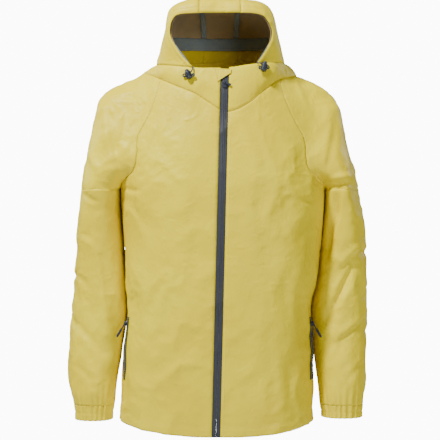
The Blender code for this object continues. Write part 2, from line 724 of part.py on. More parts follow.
def make_sleeve(side, finish):
    _, _, front = RAGLANS[side, 1]
    _, _, back = RAGLANS[side, -1]
    line = NECK_LINES[side]
    angles = np.linspace(-math.pi, math.pi, SLEEVE_STEPS + 1)
    right = sleeve_angles(front, side)
    left = sleeve_angles(back, side)
    right[0] = (0, math.pi)
    left[0] = (0, -math.pi)
    neck = line["seam"][JOIN_FRONT:JOIN_BACK + 1][::-1]
    shared = line["seam_normals"][JOIN_FRONT:JOIN_BACK + 1][::-1]
    bottom = np.stack([np.zeros_like(angles), angles], -1)
    grid = coons(bottom, sleeve_angles(neck, side), left, right)
    upper = on_shoulder(grid[..., 0], grid[..., 1], side)
    upper[0] = sleeve_ring(np.full_like(angles, UNDERARM), angles, side)
    upper[1:, 0] = back[1:]
    upper[1:, -1] = front[1:]
    upper[-1] = neck
    levels = SLEEVE["z"][(SLEEVE["z"] > CUFF_SEAM + 0.01) & (SLEEVE["z"] < UNDERARM - 0.01)]
    levels = np.concatenate([[CUFF_SEAM + SEAM / 2], levels, [-0.30, -0.38, -0.46, -0.54, -0.27]])
    levels = np.unique(np.round(levels, 5))
    z, angle = np.meshgrid(levels, angles, indexing="ij")
    lower = sleeve_ring(z, angle, side)
    points = np.concatenate([lower, upper])
    lower_normals = ring_normals(lower, side)
    upper_normals = outward(body_gap, upper)
    upper_normals[1:, 0] = armhole_out(side, -1)[1:]
    upper_normals[1:, -1] = armhole_out(side, 1)[1:]
    normals = np.concatenate([lower_normals, upper_normals])
    row = len(lower)
    normals[row] = ring_normals(upper[0], side)
    normals[0] = unit(normals[0] * [1, 1, 0])
    calm = np.ones(points.shape[:2])
    contact = ease((np.degrees(np.abs(np.arctan2(np.sin(angle), np.cos(angle)))) - 100) / 40)
    calm[:row] = 1 - contact
    calm[row] = 1 - contact[0]
    points = points + normals * (relief(points, normals) * calm)[..., None]
    normals[-1] = shared
    points = trim(points, "tlr")
    for i, extra in enumerate(FOLD_TRIM, row + 1):
        points[i, 0] += unit(points[i, 1] - points[i, 0]) * extra
        points[i, -1] += unit(points[i, -2] - points[i, -1]) * extra
    return wall("sleeve_" + side_name(side), points, normals, CLOTH, finish)


def make_cuff(side, finish):
    per_wave = 3
    angles = np.linspace(-math.pi, math.pi, CUFF_WAVES * per_wave + 1)
    levels = np.linspace(CUFF_END[side], CUFF_SEAM - SEAM / 2, 2)
    z, angle = np.meshgrid(levels, angles, indexing="ij")
    points = sleeve_ring(z, angle, side, CUFF_WAVE_DEPTH)
    normals = unit(ring_normals(points, side) * [1, 1, 0])
    points = trim(points, "lr")
    return wall("cuff_" + side_name(side), points, normals, CLOTH, finish)


# ---------------------------------------------------------------- collar and hood
def make_collar(finish):
    rows = 3
    seams = [NECK_LINES[-1][name] for name in ("seam", "top", "collar", "seam_normals", "top_normals")]
    others = [NECK_LINES[1][name][-2::-1] for name in ("seam", "top", "collar", "seam_normals", "top_normals")]
    seam, top, collar, low, high = (np.concatenate([a, b]) for a, b in zip(seams, others))
    share = np.linspace(0, 1, rows)[:, None, None]
    grid = seam[None] * (1 - share) + top[None] * share
    height = np.linalg.norm(top - seam, axis=-1)[None, :, None]
    grid = grid + collar[None] * (0.16 * height * share * (1 - share))
    normals = unit(collar[None] + 0 * share)
    normals[0] = low
    normals[-1] = high
    grid = trim(grid, "bt")
    return wall("collar", grid, normals, CLOTH, finish)


def hood_rays(directions, inset=0.0):
    origins = np.broadcast_to(np.array(HOOD_ORIGIN), directions.shape)
    points = march(hood_gap, origins, unit(directions), reach=0.22, steps=44)
    normals = outward(hood_gap, points)
    return points - normals * inset, normals


def opening_edge(side, count):
    """Edge of the face opening from the brim's seam down to the corner."""
    name = side_name(side)
    x = OPENING[name]
    z = OPENING["z_" + name]
    rows = table("at x z", list(zip(range(len(x)), x, z)))
    at = np.linspace(0, len(x) - 1, count)
    x = read(rows, "at", "x", at)
    z = read(rows, "at", "z", at)
    origins = np.stack([side * x, 0 * x, z], -1)
    ahead = np.broadcast_to(np.array([0.0, -1.0, 0.0]), origins.shape)
    return march(hood_gap, origins, ahead, reach=0.12, steps=60)


def centre_seam(side, count):
    """Seam between centre and side panels, from the brim over the crown to the nape."""
    line = NECK_LINES[side]
    start = opening_edge(side, 2)[0] - HOOD_ORIGIN
    end = line["top"][NAPE] - HOOD_ORIGIN
    first = math.atan2(start[2], -start[1])
    last = math.atan2(end[2], -end[1]) + 2 * math.pi
    last = last - 2 * math.pi if last - first > math.pi * 1.5 else last
    turns = np.linspace(first, last, count)
    width = np.linspace(CENTRE_SEAM, CENTRE_SEAM_NAPE, count)
    origins = np.stack([side * width, np.full(count, HOOD_ORIGIN[1]), np.full(count, HOOD_ORIGIN[2])], -1)
    directions = np.stack([0 * turns, -np.cos(turns), np.sin(turns)], -1)
    points = march(hood_gap, origins, directions, reach=0.22, steps=44)
    points[0] = start + HOOD_ORIGIN
    points[-1] = line["top"][NAPE]
    return points


CROWN_ROWS = 12
EDGE_ROWS = 8


def make_hood_side(side, finish):
    """Side panel: bottom along the collar, right edge up the back seam, top over the crown."""
    line = NECK_LINES[side]
    bottom = line["top"][CORNER:NAPE + 1]
    seam = centre_seam(side, CROWN_ROWS + EDGE_ROWS + 1)
    back = seam[CROWN_ROWS:][::-1]
    crown_share = np.linspace(0, CROWN_ROWS, len(bottom))
    crown = np.stack([np.interp(crown_share, range(CROWN_ROWS + 1), seam[:CROWN_ROWS + 1, k])
                      for k in range(3)], -1)
    front = opening_edge(side, EDGE_ROWS + 1)[::-1]
    front[0] = bottom[0]
    grid = coons(bottom - HOOD_ORIGIN, crown - HOOD_ORIGIN, front - HOOD_ORIGIN, back - HOOD_ORIGIN)
    points, normals = hood_rays(grid)
    points[-1] = crown
    crown_normals = outward(hood_gap, seam[:CROWN_ROWS + 1])
    normals[-1] = np.stack([np.interp(crown_share, range(CROWN_ROWS + 1), crown_normals[:, k])
                            for k in range(3)], -1)
    points[0] = bottom
    normals[0] = line["top_normals"][CORNER:NAPE + 1]
    wall("hood_" + side_name(side), trim(points, "btr"), normals, CLOTH, finish)
    return points, normals


def centre_grid(count_rows, count_columns):
    left = centre_seam(-1, count_rows)
    right = centre_seam(1, count_rows)
    share = np.linspace(0, 1, count_columns)[None, :, None]
    return left[:, None] * (1 - share) + right[:, None] * share


def make_hood_centre(finish):
    columns = NAPE_STEPS + 1
    grid = centre_grid(CROWN_ROWS + EDGE_ROWS + 1, columns)
    points, normals = hood_rays(grid - HOOD_ORIGIN)
    nape = np.concatenate([NECK_LINES[-1]["top"][NAPE:], NECK_LINES[1]["top"][NAPE:][-2::-1]])
    shared = np.concatenate([NECK_LINES[-1]["top_normals"][NAPE:],
                             NECK_LINES[1]["top_normals"][NAPE:][-2::-1]])
    points[-1] = nape
    normals[-1] = shared
    points[:, 0] = centre_seam(-1, len(points))
    points[:, -1] = centre_seam(1, len(points))
    for edge in (0, -1):
        normals[:-1, edge] = outward(hood_gap, points[:-1, edge])
    wall("hood_centre", trim(points, "tlr"), normals, CLOTH, finish)
    return points, normals


# ---------------------------------------------------------------- inside the hood
BAND_FRONT = (0.0015, 0.0415)  # heights of the dark band's edges at the face opening
BAND_BACK = (0.0530, 0.0830)  # and at the back
EDGE_INSET = 0.12  # the lining starts this far in, as a share of a column


def at_rows(points, rows):
    """Points of a column at fractional row numbers."""
    numbers = np.arange(len(points))
    return np.stack([np.interp(rows, numbers, points[:, k]) for k in range(3)], -1)


def row_at_height(points, z, first, last):
    """Fractional row number where a column that rises from first to last reaches a height."""
    numbers = np.linspace(first, last, 60)
    heights = at_rows(points, numbers)[:, 2]
    return float(np.interp(z, heights, numbers))


def inset_columns(points, normals, share):
    """Moves a grid's first column in by a share of its width."""
    points = points.copy()
    normals = normals.copy()
    points[:, 0] += (points[:, 1] - points[:, 0]) * share
    normals[:, 0] = unit(normals[:, 0] + (normals[:, 1] - normals[:, 0]) * share)
    return points, normals


def band_levels(column, count):
    share = ease(column / count)
    return [a + (b - a) * share for a, b in zip(BAND_FRONT, BAND_BACK)]


def make_hood_inside(sides, centre, mesh, dark):
    lows, highs, low_normals, high_normals = [], [], [], []
    for side in (-1, 1):
        points, normals = (part[:, ::2] for part in inset_columns(*sides[side], EDGE_INSET))
        count = points.shape[1] - 1
        part = {"low": [], "high": [], "low_n": [], "high_n": []}
        lining = []
        lining_normals = []
        for j in range(count + 1):
            low, high = band_levels(j, count)
            a = row_at_height(points[:, j], low, 0, 6)
            b = row_at_height(points[:, j], high, 0, 8)
            part["low"].append(at_rows(points[:, j], [a])[0])
            part["high"].append(at_rows(points[:, j], [b])[0])
            part["low_n"].append(unit(at_rows(normals[:, j], [a])[0]))
            part["high_n"].append(unit(at_rows(normals[:, j], [b])[0]))
            rows = np.linspace(b, len(points) - 1, 6)
            lining.append(at_rows(points[:, j], rows))
            lining_normals.append(unit(at_rows(normals[:, j], rows)))
        grid = np.stack(lining, 1)
        grid_normals = np.stack(lining_normals, 1)
        grid = trim(grid - grid_normals * LINING_INSET, "btr")
        wall("hood_lining_" + side_name(side), grid, grid_normals, LINING, mesh)
        order = slice(None) if side < 0 else slice(None, None, -1)
        lows += part["low"][order]
        highs += part["high"][order]
        low_normals += part["low_n"][order]
        high_normals += part["high_n"][order]
        if side < 0:
            points, normals = centre
            columns = points.shape[1]
            last = len(points) - 1
            lining, lining_normals = [], []
            for j in range(columns):
                b = row_at_height(points[:, j], BAND_BACK[1], last, CROWN_ROWS)
                a = row_at_height(points[:, j], BAND_BACK[0], last, CROWN_ROWS)
                if 0 < j < columns - 1:
                    lows.append(at_rows(points[:, j], [a])[0])
                    highs.append(at_rows(points[:, j], [b])[0])
                    low_normals.append(unit(at_rows(normals[:, j], [a])[0]))
                    high_normals.append(unit(at_rows(normals[:, j], [b])[0]))
                rows = np.concatenate([[0.2], np.arange(1, math.floor(b)), [b]])
                lining.append(at_rows(points[:, j], rows))
                lining_normals.append(unit(at_rows(normals[:, j], rows)))
            grid = np.stack(lining, 1)
            grid_normals = np.stack(lining_normals, 1)
            grid = trim(grid - grid_normals * LINING_INSET, "tlr")
            wall("hood_lining_centre", grid, grid_normals, LINING, mesh)
    lows, highs = np.array(lows), np.array(highs)
    low_normals, high_normals = np.array(low_normals), np.array(high_normals)
    middle = (lows + highs) / 2 + (low_normals + high_normals) * 0.0001
    grid = np.stack([lows, middle, highs])
    normals = np.stack([low_normals, unit(low_normals + high_normals), high_normals])
    grid = trim(grid - normals * LINING_INSET, "t")
    wall("hood_band", grid, normals, LINING, dark)


def make_seam_tape(side, centre, dark):
    """Tape over the lining along a centre seam, from the brim to the band."""
    points = centre[0][:, 0 if side < 0 else -1]
    normals = centre[1][:, 0 if side < 0 else -1]
    end = row_at_height(points, BAND_BACK[1] + 0.001, len(points) - 1, CROWN_ROWS)
    rows = np.concatenate([[0.4], np.arange(1, math.floor(end)), [end]])
    spine = at_rows(points, rows)
    normals = unit(at_rows(normals, rows))
    along = unit(np.gradient(spine, axis=0))
    across = unit(np.cross(normals, along))
    grid = np.stack([spine - across * TAPE_HALF, spine, spine + across * TAPE_HALF], 1)
    sides_n = np.stack([normals] * 3, 1)
    grid = grid - sides_n * TAPE_INSET
    grid[:, (0, 2)] -= sides_n[:, (0, 2)] * 0.0003
    wall("seam_tape_" + side_name(side), grid, sides_n, LINING, dark)


# ---------------------------------------------------------------- front zip
ZIP_TOP = -0.0140
ZIP_ROWS = 18
ZIP_CENTRE_GAP = 0.00015
ZIP_DROP = 0.0004  # the tapes lie this far behind the cloth's face
SLIDER_Z = -0.0370


def front_line():
    """Heights and depths of the front middle, from the hem up the collar."""
    z = np.linspace(float(hem_height(90)), float(NECK_LINES[1]["seam"][0, 2]), ZIP_ROWS)
    rows = [(level, -float(front_depth(level))) for level in z]
    seam = (NECK_LINES[-1]["seam"][0] + NECK_LINES[1]["seam"][0]) / 2
    top = (NECK_LINES[-1]["top"][0] + NECK_LINES[1]["top"][0]) / 2
    out = unit(NECK_LINES[-1]["collar"][0] + NECK_LINES[1]["collar"][0])
    height = np.linalg.norm(top - seam)
    for share in np.linspace(0.2, 1, 5):
        point = seam + (top - seam) * share + out * (0.16 * height * share * (1 - share))
        rows.append((point[2], point[1]))
    return table("z y", rows)


def front_frame(z):
    """Point on the zip's middle and its outward normal."""
    step = 0.004
    depth = [float(np.interp(level, FRONT_LINE["z"], FRONT_LINE["y"])) for level in (z - step, z, z + step)]
    slope = (depth[2] - depth[0]) / (2 * step)
    normal = Vector((0, -1, slope)).normalized()
    return Vector((float(zip_line(z)), depth[1], z)), normal


def make_zip(side, finish):
    levels = FRONT_LINE["z"][FRONT_LINE["z"] < ZIP_TOP]
    levels = np.concatenate([levels, [ZIP_TOP]])
    rows, normals = [], []
    for z in levels:
        point, normal = front_frame(float(z))
        point = point - normal * ZIP_DROP
        inner = point + Vector((side * ZIP_CENTRE_GAP, 0, 0))
        outer = point + Vector((side * (ZIP_HALF - SEAM), 0, 0))
        rows.append([inner, (inner + outer) / 2, outer])
        normals.append([normal] * 3)
    wall("zip_tape_" + side_name(side), np.array(rows), np.array(normals), ZIP_TAPE, finish)


def make_chin_guard(finish):
    """Flap of the collar's right front that curls over the zip's top end."""
    left = [(-0.0055, -0.0350), (-0.0120, -0.0080)]
    right = [(0.0215, -0.0170), (0.0225, -0.0090)]
    lift = CLOTH + 2.5 * LIE
    rows, normals = [], []
    for v in np.linspace(0, 1, 4):
        row, row_normals = [], []
        for u in np.linspace(0, 1, 5):
            a = [left[0][k] * (1 - v) + left[1][k] * v for k in (0, 1)]
            b = [right[0][k] * (1 - v) + right[1][k] * v for k in (0, 1)]
            x, z = a[0] * (1 - u) + b[0] * u, a[1] * (1 - u) + b[1] * u
            point, normal = front_frame(z)
            row.append(Vector((x, point.y, z)) + normal * lift)
            row_normals.append(normal)
        rows.append(row)
        normals.append(row_normals)
    wall("chin_guard", np.array(rows), np.array(normals), CLOTH, finish)


# ---------------------------------------------------------------- sliders and pulls
ROUND = 16
STUD = 0.0012
STUD_HEAD = 0.0020
PULL_HOLE = 0.0015
PULL_THICKNESS = 0.0013


def frame(origin, up, normal):
    """Axes right, up and outward at a point, as a matrix."""
    normal = normal.normalized()
    right = up.cross(normal).normalized()
    up = normal.cross(right)
    made = Matrix((right, up, normal)).transposed().to_4x4()
    made.translation = origin
    return made


def circle(radius, count=ROUND, squash=1.0):
    return [(radius * math.cos(2 * math.pi * k / count), radius * squash * math.sin(2 * math.pi * k / count))
            for k in range(count)]


def rounded(half_width, half_height, power=4.0, count=ROUND):
    """Outline between an oval and a rectangle."""
    points = []
    for k in range(count):
        angle = 2 * math.pi * k / count
        c, s = math.cos(angle), math.sin(angle)
        reach = (abs(c) ** power + abs(s) ** power) ** (-1 / power)
        points.append((half_width * c * reach, half_height * s * reach))
    return points


def stack(name, rings, matrix, finish):
    """Closed solid through outlines at heights above a frame."""
    count = len(rings[0][0])
    vertices = [matrix @ Vector((x, y, height)) for outline, height in rings for x, y in outline]
    faces = []
    pairs = list(zip(range(len(rings)), range(1, len(rings))))
    for low, high in pairs:
        for k in range(count):
            following = (k + 1) % count
            faces.append((low * count + k, low * count + following,
                          high * count + following, high * count + k))
    faces.append(tuple(reversed(range(count))))
    faces.append(tuple((len(rings) - 1) * count + k for k in range(count)))
    return add_object(name, vertices, faces, finish)


def make_slider(name, matrix, size, finish):
    """Slider with a headed stud for its pull; the stud stands at the frame's origin."""
    body = rounded(size[0], size[1])
    top = size[2]
    rings = [([(x * 0.86, y * 0.9 - size[3]) for x, y in body], 0),
             ([(x, y - size[3]) for x, y in body], top * 0.3),
             ([(x, y - size[3]) for x, y in body], top * 0.75),
             ([(x * 0.8, y * 0.84 - size[3]) for x, y in body], top),
             (circle(STUD), top + 0.0001), (circle(STUD), top + 0.0019),
             (circle(STUD_HEAD), top + 0.0020), (circle(STUD_HEAD), top + 0.0026),
             (circle(STUD_HEAD * 0.7), top + 0.0030)]
    return stack(name, rings, matrix, finish)


CROWN_ANGLES = [-15, 20, 55, 90, 125, 160, 195]
PULL_HEAD = 0.0030


def make_pull(name, matrix, widths, finish):
    """Flat pull with a round eye; the object's origin is on the eye's axis."""
    left = [(-half, -down) for down, half in widths]
    right = [(half, -down) for down, half in reversed(widths)]
    crown = [(PULL_HEAD * math.cos(a), PULL_HEAD * math.sin(a)) for a in np.radians(CROWN_ANGLES)]
    outline = crown + left + right
    eased = [(x * 0.93, y * 0.985) for x, y in outline]
    count = len(outline)
    shoulder = len(crown)
    neck = (0, left[0][1])
    head = [*eased[:shoulder + 1], neck, eased[-1]]
    turns = [math.atan2(y, x) for x, y in head]
    eye = [(PULL_HOLE * math.cos(a), PULL_HOLE * math.sin(a)) for a in turns]
    layers = [(eased, 0), (outline, PULL_THICKNESS * 0.25), (outline, PULL_THICKNESS * 0.75),
              (eased, PULL_THICKNESS), ([*eye, neck], 0), ([*eye, neck], PULL_THICKNESS)]
    vertices = [(x, y, height) for points, height in layers for x, y in points]
    faces = []
    for low in (0, count, 2 * count):
        for k in range(count):
            following = (k + 1) % count
            faces.append((low + k, low + following, low + count + following, low + count + k))
    eyes = [4 * count, 4 * count + len(eye) + 1]
    for upper, base, inner in ((False, 0, eyes[0]), (True, 3 * count, eyes[1])):
        middle = inner + len(eye)
        loop = [*range(base, base + shoulder + 1), middle, base + count - 1]
        plate = [(loop[k - 1], loop[k], inner + k, inner + (k - 1) % len(eye)) for k in range(len(loop))]
        for k in range(len(left) - 1):
            near = base + shoulder + k
            far = base + count - 1 - k
            plate.append((near, near + 1, far - 1, far) + ((middle,) if k == 0 else ()))
        faces += plate if upper else [tuple(reversed(face)) for face in plate]
    for k in range(len(eye)):
        following = (k + 1) % len(eye)
        faces.append((eyes[0] + following, eyes[0] + k, eyes[1] + k, eyes[1] + following))
    made = add_object(name, vertices, faces, finish)
    made.matrix_world = matrix
    return made


def make_front_slider(hard):
    point, normal = front_frame(SLIDER_Z)
    base = point + normal * (LIE - ZIP_DROP)
    matrix = frame(base, Vector((0, 0, 1)), normal)
    make_slider("slider", matrix, (0.0046, 0.0062, 0.0026, 0.0035), hard)
    turn = Matrix.Rotation(math.radians(PULL_REST), 4, "Z")
    lifted = matrix @ Matrix.Translation((0, 0, 0.0026 + 0.0003)) @ turn
    widths = [(0.0030, 0.0022), (0.0055, 0.0018), (0.0085, 0.0022), (0.0120, 0.0024), (0.0140, 0.0016)]
    make_pull("pull", lifted, widths, hard)


PULL_REST = 68.0  # the main pull lies turned to the wearer's left


# ---------------------------------------------------------------- pocket zips
POCKET_TURN = (13.6, 18.4)  # the strip's edges, as angles from the side
POCKET_Z = (-0.6370, -0.5100)
POCKET_LIFT = 0.0012
POCKET_PULL_REST = 33.0
POCKET_FACING = 1.6  # how far the slider is turned to face the front
POCKET_STAND = 0.0056


def panel_point(panel, turn, z):
    """Point and normal of a front panel at an angle and height, read between its own points."""
    points, normals, places = panel
    heights = places[:, -1, 1]
    row = float(np.interp(z, heights[:SIDE_ROWS + 1], range(SIDE_ROWS + 1)))
    low = min(int(row), len(points) - 2)
    found = []
    for i in (low, low + 1):
        turns = places[i, ::-1, 0]
        column = len(turns) - 1 - float(np.interp(turn, turns, range(len(turns))))
        j = min(int(column), len(turns) - 2)
        share = column - j
        found.append((points[i, j] * (1 - share) + points[i, j + 1] * share,
                      normals[i, j] * (1 - share) + normals[i, j + 1] * share))
    share = row - low
    point = found[0][0] * (1 - share) + found[1][0] * share
    normal = found[0][1] * (1 - share) + found[1][1] * share
    return point, unit(normal)


def make_pocket(side, panel, tape, hard):
    name = side_name(side)
    rows, normals = [], []
    for z in np.linspace(*POCKET_Z, 7):
        row = [panel_point(panel, turn, z) for turn in (POCKET_TURN[1], sum(POCKET_TURN) / 2, POCKET_TURN[0])]
        rows.append([point + normal * (POCKET_LIFT + ZIP_TAPE) for point, normal in row])
        normals.append([normal for _, normal in row])
    wall("pocket_zip_" + name, np.array(rows), np.array(normals), ZIP_TAPE, tape)
    top, normal = panel_point(panel, POCKET_TURN[1] - 0.8, POCKET_Z[1] - 0.006)
    facing = Vector(normal) + Vector((0, -POCKET_FACING, 0))
    origin = Vector(top) + Vector(normal) * POCKET_STAND
    matrix = frame(origin, Vector((0, 0, 1)), facing)
    make_slider("pocket_slider_" + name, matrix, (0.0036, 0.0052, 0.0022, 0.0020), hard)
    turn = Matrix.Rotation(math.radians(POCKET_PULL_REST * side), 4, "Z")
    lifted = matrix @ Matrix.Translation((0, 0, 0.0022 + 0.0003)) @ turn
    widths = [(0.0028, 0.0018), (0.0060, 0.0011), (0.0150, 0.0011), (0.0175, 0.0024),
              (0.0300, 0.0027), (0.0345, 0.0021), (0.0365, 0.0010)]
    make_pull("pocket_pull_" + name, lifted, widths, hard)


# ---------------------------------------------------------------- cord locks
BARREL = 0.0062
BARREL_HALF = 0.0080
BORE = 0.0043
BORE_FLOOR = 0.0012
BUTTON = 0.0039
LOCKS = table("side x z lean out", [
    (-1, -0.0600, -0.0215, -25.0, 0.0092),
    (1, 0.0850, -0.0050, 20.0, 0.0076),
])


def lock_frame(row):
    """Frame of a cord lock: its long axis is the frame's second axis."""
    side = int(LOCKS["side"][row])
    x, z = LOCKS["x"][row], LOCKS["z"][row]
    line = NECK_LINES[side]
    column = int(np.argmin(np.abs(line["top"][:JOIN_FRONT, 0] - x)))
    seam, top = line["seam"][column], line["top"][column]
    share = (z - seam[2]) / (top[2] - seam[2])
    surface = seam + (top - seam) * share
    normal = Vector(line["collar"][column])
    origin = Vector((x, surface[1], z)) + normal * LOCKS["out"][row]
    lean = math.radians(LOCKS["lean"][row])
    up = Vector((math.sin(lean), 0, math.cos(lean)))
    return frame(origin, up, normal)


def make_lock(row, hard):
    side = int(LOCKS["side"][row])
    matrix = lock_frame(row)
    turned = matrix @ Matrix.Rotation(math.radians(-90), 4, "X")
    outer = [(0.0046, -BARREL_HALF), (BARREL - 0.0004, -BARREL_HALF + 0.0010), (BARREL, -BARREL_HALF + 0.0022),
             (BARREL, BARREL_HALF - 0.0018), (BARREL - 0.0008, BARREL_HALF)]
    rings = [(circle(radius), height) for radius, height in outer]
    rings += [(circle(BORE), BARREL_HALF), (circle(BORE), BORE_FLOOR)]
    stack("lock_" + side_name(side), rings, turned, hard)
    button = [(BUTTON, BARREL_HALF - 0.0030), (BUTTON, BARREL_HALF + 0.0032), (BUTTON - 0.0010, BARREL_HALF + 0.0042)]
    made = stack("lock_button_" + side_name(side), [(circle(r), h) for r, h in button], Matrix.Identity(4), hard)
    made.matrix_world = turned
    return matrix


def cord(name, route, finish):
    """Tube with filled caps along a smooth curve through the route's points."""
    curve = bpy.data.curves.new(name, "CURVE")
    curve.dimensions = "3D"
    curve.bevel_depth = CORD_RADIUS
    curve.bevel_resolution = 2
    curve.use_fill_caps = True
    route = np.array([tuple(p) for p in route])
    keys = np.arange(len(route), dtype=float)
    at = np.linspace(0, len(route) - 1, 3 * len(route))
    columns = {"at": keys, "x": route[:, 0], "y": route[:, 1], "z": route[:, 2]}
    points = np.stack([read(columns, "at", axis, at) for axis in "xyz"], -1)
    spline = curve.splines.new("POLY")
    spline.points.add(len(points) - 1)
    for place, point in zip(spline.points, points):
        place.co = (*point, 1)
    made = bpy.data.objects.new(name, curve)
    bpy.context.collection.objects.link(made)
    curve.materials.append(finish)
    return made


def make_lock_cords(row, matrix, finish):
    """The cord from the hood's edge into the barrel, and the loops on both sides of it."""
    side = int(LOCKS["side"][row])
    name = side_name(side)
    clear = BARREL + CORD_RADIUS * 0.2 + LIE
    inward = -side  # towards the opening's middle, along the frame's first axis
    loops = {"outer": (-inward, 0.0035), "inner": (inward, -0.0040)}
    for where, (way, along) in loops.items():
        route = [matrix @ Vector((way * x, along + y, 0)) for x, y in
                 ((clear, 0.0019), (clear + 0.0020, 0.0026), (clear + 0.0040, 0.0014), (clear + 0.0042, -0.0012),
                  (clear + 0.0022, -0.0026), (clear, -0.0019))]
        cord("cord_loop_" + where + "_" + name, route, finish)
    line = NECK_LINES[side]
    corner = Vector(line["top"][CORNER]) + Vector(line["collar"][CORNER]) * (CORD_RADIUS + 2 * LIE)
    end = matrix @ Vector((inward * clear, 0.0040, 0))
    rise = matrix @ Vector((inward * (clear + 0.0030), 0.0052, 0.0004))
    cord("cord_" + name, [corner, (corner + rise) / 2 + Vector((0, -0.0012, 0)), rise, end], finish)


# ---------------------------------------------------------------- build
for old in list(bpy.data.objects):
    bpy.data.objects.remove(old, do_unlink=True)

SHELL = material("shell_cloth", (0.72, 0.62, 0.14), 0.5)
MESH = material("lining_mesh", (0.10, 0.09, 0.06), 0.9)
DARK = material("dark_tape", (0.045, 0.055, 0.065), 0.7)
TAPE = material("zip_tape", (0.055, 0.062, 0.075), 0.6)
HARD = material("dark_plastic", (0.03, 0.033, 0.045), 0.4)
CORD = material("drawcord", (0.03, 0.035, 0.03), 0.8)

FRONT_LINE = front_line()
FRONTS = {side: make_front(side, SHELL) for side in (-1, 1)}
HOOD_SIDES = {side: make_hood_side(side, SHELL) for side in (-1, 1)}
HOOD_MIDDLE = make_hood_centre(SHELL)
make_back(SHELL)
make_collar(SHELL)
make_chin_guard(SHELL)
make_front_slider(HARD)
make_hood_inside(HOOD_SIDES, HOOD_MIDDLE, MESH, DARK)
for side in (-1, 1):
    make_sleeve(side, SHELL)
    make_cuff(side, SHELL)
    make_zip(side, TAPE)
    make_pocket(side, FRONTS[side], TAPE, HARD)
    make_seam_tape(side, HOOD_MIDDLE, DARK)
for row in range(len(LOCKS["side"])):
    make_lock_cords(row, make_lock(row, HARD), CORD)
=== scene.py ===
import math
import bpy
import numpy as np
from mathutils import Matrix, Vector


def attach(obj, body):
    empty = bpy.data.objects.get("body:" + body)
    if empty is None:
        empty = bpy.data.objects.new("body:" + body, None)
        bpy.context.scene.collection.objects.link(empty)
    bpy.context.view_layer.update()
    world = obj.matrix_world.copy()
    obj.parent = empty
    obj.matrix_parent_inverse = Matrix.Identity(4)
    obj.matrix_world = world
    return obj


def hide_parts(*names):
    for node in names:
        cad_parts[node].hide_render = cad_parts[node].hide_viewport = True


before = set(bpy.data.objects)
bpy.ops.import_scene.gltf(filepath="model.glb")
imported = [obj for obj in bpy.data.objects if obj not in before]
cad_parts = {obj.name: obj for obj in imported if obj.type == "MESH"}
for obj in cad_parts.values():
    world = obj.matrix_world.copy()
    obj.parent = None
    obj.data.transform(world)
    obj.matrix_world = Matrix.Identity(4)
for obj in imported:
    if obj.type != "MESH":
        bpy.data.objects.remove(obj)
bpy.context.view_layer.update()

# hooded rain jacket, front towards -Y, +X is the wearer's left, metres
print("jacket: frame loaded")

# camera at the photo's height, looking straight at the front
cameraSize = {"place": (0.0, -3.0, -0.312), "lens": 118.03, "sensor": 36.0}
cameraData = bpy.data.cameras.new("camera")
cameraData.lens = cameraSize["lens"]
cameraData.sensor_width = cameraSize["sensor"]
cameraData.clip_end = 60
camera = bpy.data.objects.new("camera", cameraData)
camera.location = cameraSize["place"]
camera.rotation_euler = (math.radians(90), 0, 0)
bpy.context.scene.collection.objects.link(camera)
bpy.context.scene.camera = camera

# the two cord locks: axes and place of each barrel, and the cord's way to it from the hood's edge
locks = {
    "right": {
        "frame": ((0.869397, -0.359505, -0.338977, -0.063119), (-0.28248, 0.201245, -0.937926, -0.10313),
                  (0.405406, 0.911184, 0.073408, -0.020825), (0, 0, 0, 1)),
        "inward": 1,
        "hood": ((-0.05368, -0.09787, -0.0043), (-0.05513, -0.10275, -0.00818),
                 (-0.05658, -0.10524, -0.01207)),
    },
    "left": {
        "frame": ((0.832877, 0.229898, 0.50345, 0.088826), (0.463055, 0.208781, -0.861389, -0.095676),
                  (-0.303143, 0.950556, 0.067433, -0.004488), (0, 0, 0, 1)),
        "inward": -1,
        "hood": ((0.07493, -0.09341, 0.0042), (0.07848, -0.09765, 0.00383),
                 (0.08204, -0.09949, 0.00346)),
    },
}
cordSize = {"radius": 0.0014, "clear": 0.0068, "points": 90, "roundness": 5}
# the cord's way at the lock: which end, how far beyond it, how far along the barrel
loopRoute = [(1, 0, 0.0040), (-1, 0, 0.0056), (-1, 0.0022, 0.0062), (-1, 0.0041, 0.0048),
             (-1, 0.0042, 0.0022), (-1, 0.0022, 0.0008), (-1, 0, 0.0014), (1, 0, -0.0019),
             (1, 0.0022, -0.0013), (1, 0.0041, -0.0028), (1, 0.0042, -0.0053), (1, 0.0022, -0.0067),
             (1, 0, -0.0060), (1, -0.0030, -0.0056)]


# A smooth line through route points, as many points as asked.
def smoothLine(route, count):
    route = np.array(route, float)
    before = 2 * route[:1] - route[1:2]
    after = 2 * route[-1:] - route[-2:-1]
    padded = np.concatenate([before, route, after])
    at = np.linspace(0, len(route) - 1 - 1e-9, count)
    k = at.astype(int)
    t = (at - k)[:, None]
    p0, p1, p2, p3 = (padded[k + n] for n in range(4))
    square = 2 * p0 - 5 * p1 + 4 * p2 - p3
    cube = 3 * p1 - p0 - 3 * p2 + p3
    return 0.5 * (2 * p1 + (p2 - p0) * t + square * t * t + cube * t ** 3)


